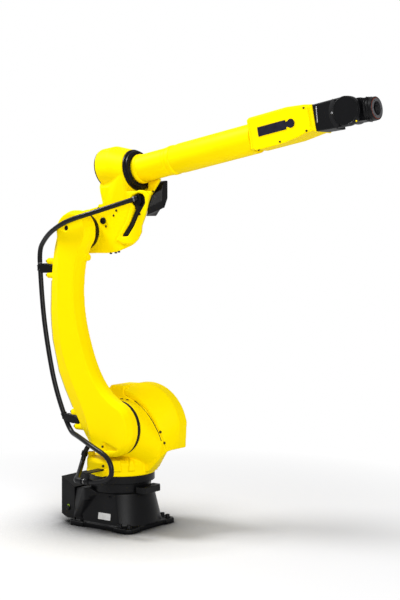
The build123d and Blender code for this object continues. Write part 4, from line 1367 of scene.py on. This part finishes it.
# %% Small screws seen in the photograph
seen_screws = {
    "column_casting": (5.4, [(121.7, 399.0), (127.5, 400.0), (103.2, 466.0)]),
    "shoulder_cover": (5.4, [(160.5, 432.0), (164.5, 443.0)]),
    "elbow_housing": (
        4.6,
        [(153.0, 191.5), (113.6, 215.5), (116.3, 210.5), (106.1, 226.4), (98.6, 208.3), (139.7, 214.2)],
    ),
    "lower_arm": (5.2, [(102.5, 446.7)]),
    "base_casting": (6.0, [(110.0, 497.0)]),
}
sunk = 0.4 * mm
head_share = 0.55
seen_count = 0
for carrier, (size, pixels) in seen_screws.items():
    for number, (px, py) in enumerate(pixels, 1):
        found = seen_on(carrier, px, py)
        if found:
            place, outward = found
            head = place - outward * sunk
            screw_name = f"screw_{carrier}_{number}"
            set_on(screw_pattern, screw_name, head, outward, size, size * head_share, body_of(carrier))
            seen_count += 1
print("small screws", seen_count)

# %% [markdown]
# Each boss ends in a screw with a washer, straight from behind, and three screws hang under the
# elbow. Their places are measured on the solids.

# %% Boss and elbow screws
boss_ends = ((-296, 1112), (-296, 1052), (-154, 476), (-135, 416))
for number, (x, z) in enumerate(boss_ends, 1):
    boss_end = Vector((x, boss_line, z)) * mm
    set_on(washer_pattern, f"boss_washer_{number}", boss_end, rearward, 10, 7, "lower_arm")
    head = boss_end + rearward * washer_thickness
    set_on(screw_pattern, f"boss_screw_{number}", head, rearward, 6.5, 7, "lower_arm")
elbow_below = 1.0
under_places = ((6, -74), (33, -74), (50, -74))
for number, (x, y) in enumerate(under_places, 1):
    found = met_by("elbow_housing", (x * mm, y * mm, elbow_below), upward)
    if found:
        set_on(screw_pattern, f"elbow_under_screw_{number}", found[0], -upward, 5.5, 5.5, "elbow")
print("boss screws", len(boss_ends))

# %% [markdown]
# The flat cover on the side of the wrist housing is held by four small screws near its edge.

# %% Cover screws
cover_screw_pixels = ((303.6, 107.9), (306.6, 130.8), (280.0, 141.8), (258.8, 149.8))
for number, (px, py) in enumerate(cover_screw_pixels, 1):
    found = seen_on("wrist_side_cover", px, py)
    if found:
        set_on(screw_pattern, f"side_cover_screw_{number}", found[0], nearer, 4.2, 2.2, "forearm")
print("cover screws", len(cover_screw_pixels))

# %% [markdown]
# ## Small marks
# A grey ferrule closes the end of the hose where it enters the boot, and a pale tie rounds the
# loop beside its fitting. Both follow the hose's own direction at the nearest point of its route.

# %% Ferrule and tie


def hose_ring(name, node, near, outline, finish, body):
    places = hose_places[node]
    step = min(range(1, len(places) - 1), key=lambda i: (places[i] - Vector(near) * mm).length)
    along = (places[step + 1] - places[step - 1]).normalized()
    return spun(name, outline, places[step], along, finish, body)


ferrule = [(10.7, -3), (11.6, -3), (12.2, -2.2), (12.2, 2.2), (11.6, 3), (10.7, 3)]
tie = [(10.7, -0.8), (11.3, -0.8), (11.3, 0.8), (10.7, 0.8)]
hose_ring("hose_end_ferrule", "hose_elbow_span", (157, -111, 1374), ferrule, flange_steel, "elbow")
hose_ring("fitting_tie", "hose_loop", (-2, -240, 214), tie, zinc, "column")

# %% [markdown]
# On the wrist there are a pale screw and a dab of yellow paint on the near disc, and a thin pale
# rib on the yoke that is a painted highlight along the lit edge of a slot.

# %% Marks on the yoke
screw_depth, dab_depth, highlight_depth = -66.5, -68.5, -60.2
disc_screw_place = at_depth(332.2, 113.0, screw_depth)
set_on(
    screw_pattern, "yoke_disc_screw", disc_screw_place, nearer, 4.2, 3, "forearm", zinc
)
dab_outline = [(0, -0.4), (3.2, -0.4), (3.2, 0.2), (2.4, 0.7), (0, 0.8)]
dab_place = at_depth(356.4, 121.0, dab_depth)
spun("yoke_paint_dab", dab_outline, dab_place, nearer, yellow_paint, "forearm")
# Painted highlight: a pale zinc strip stands for the light caught by the edge of the slot.
highlight_pixels = ((315.7, 106.6), (316.6, 106.5), (317.9, 122.4), (317.0, 122.6))
highlight_front = [at_depth(px, py, highlight_depth) / mm for px, py in highlight_pixels]
highlight_parts = [hull_of(pushed_back(highlight_front, -1.6, 1.5))]
solid_from("yoke_painted_highlight", highlight_parts, 0.6, 2, zinc, "forearm")

# %% [markdown]
# The earth point on the connector box is a green and yellow disc with a screw.

# %% Earth point
earth_spot = seen_on("connector_box", 68.5, 505.5)
if earth_spot:
    earth_place, earth_outward = earth_spot
    earth_outline = [(0, -0.5), (6.6, -0.5), (6.6, 0.8), (6, 1.4), (4.8, 1.4), (4.2, 1.0), (0, 1.0)]
    spun("earth_disc", earth_outline, earth_place, earth_outward, earth_green, "base")
    earth_head = earth_place + earth_outward * mm
    set_on(
        screw_pattern, "earth_screw", earth_head, earth_outward, 3, 3, "base"
    )
print("earth point", bool(earth_spot))

# %% [markdown]
# Eight tiny screws stand round the collar behind the tool flange. The first is turned a little, so
# that none sits exactly on top.

# %% Collar screws
collar_screw_count = 8
collar_screw_turn = 0.3
collar_screw_height = 65.2
collar_screw_radius = 47.0
for number in range(collar_screw_count):
    angle = number * 2 * pi / collar_screw_count + collar_screw_turn
    outward = Matrix.Rotation(angle, 3, flange_axis) @ farther
    place = bend_place + (flange_axis * collar_screw_height + outward * collar_screw_radius) * mm
    set_on(screw_pattern, f"collar_screw_{number + 1}", place, outward, 2.6, 2, "wrist")
print("collar screws", collar_screw_count)

# %% [markdown]
# A rubber cap closes a hole near the top of the lower arm; its black also stands in as painted shade for
# the shade inside the recess. It is found by its pixel too.

# %% Arm cap and painted shade
# Painted shade: the black disc stands for the shade inside the hole's recess.
cap_and_shade_outline = [(0, -1), (10, -1), (10, 1.4), (9.2, 2.2), (8, 2.2), (7.4, 1), (0, 1)]
cap_place, cap_outward = seen_on("lower_arm", 66.4, 228.2)
spun("arm_cap_painted_shade", cap_and_shade_outline, cap_place, cap_outward, seal_rubber, "lower_arm")

# %% [markdown]
# ## Finish
# The two patterns are removed, and the CAD box is printed again.

# %% Finish the scene
for pattern in (screw_pattern, washer_pattern):
    bpy.data.objects.remove(pattern)
fresh()
print("cad box", [round(v, 3) for c in cad_box for v in c])
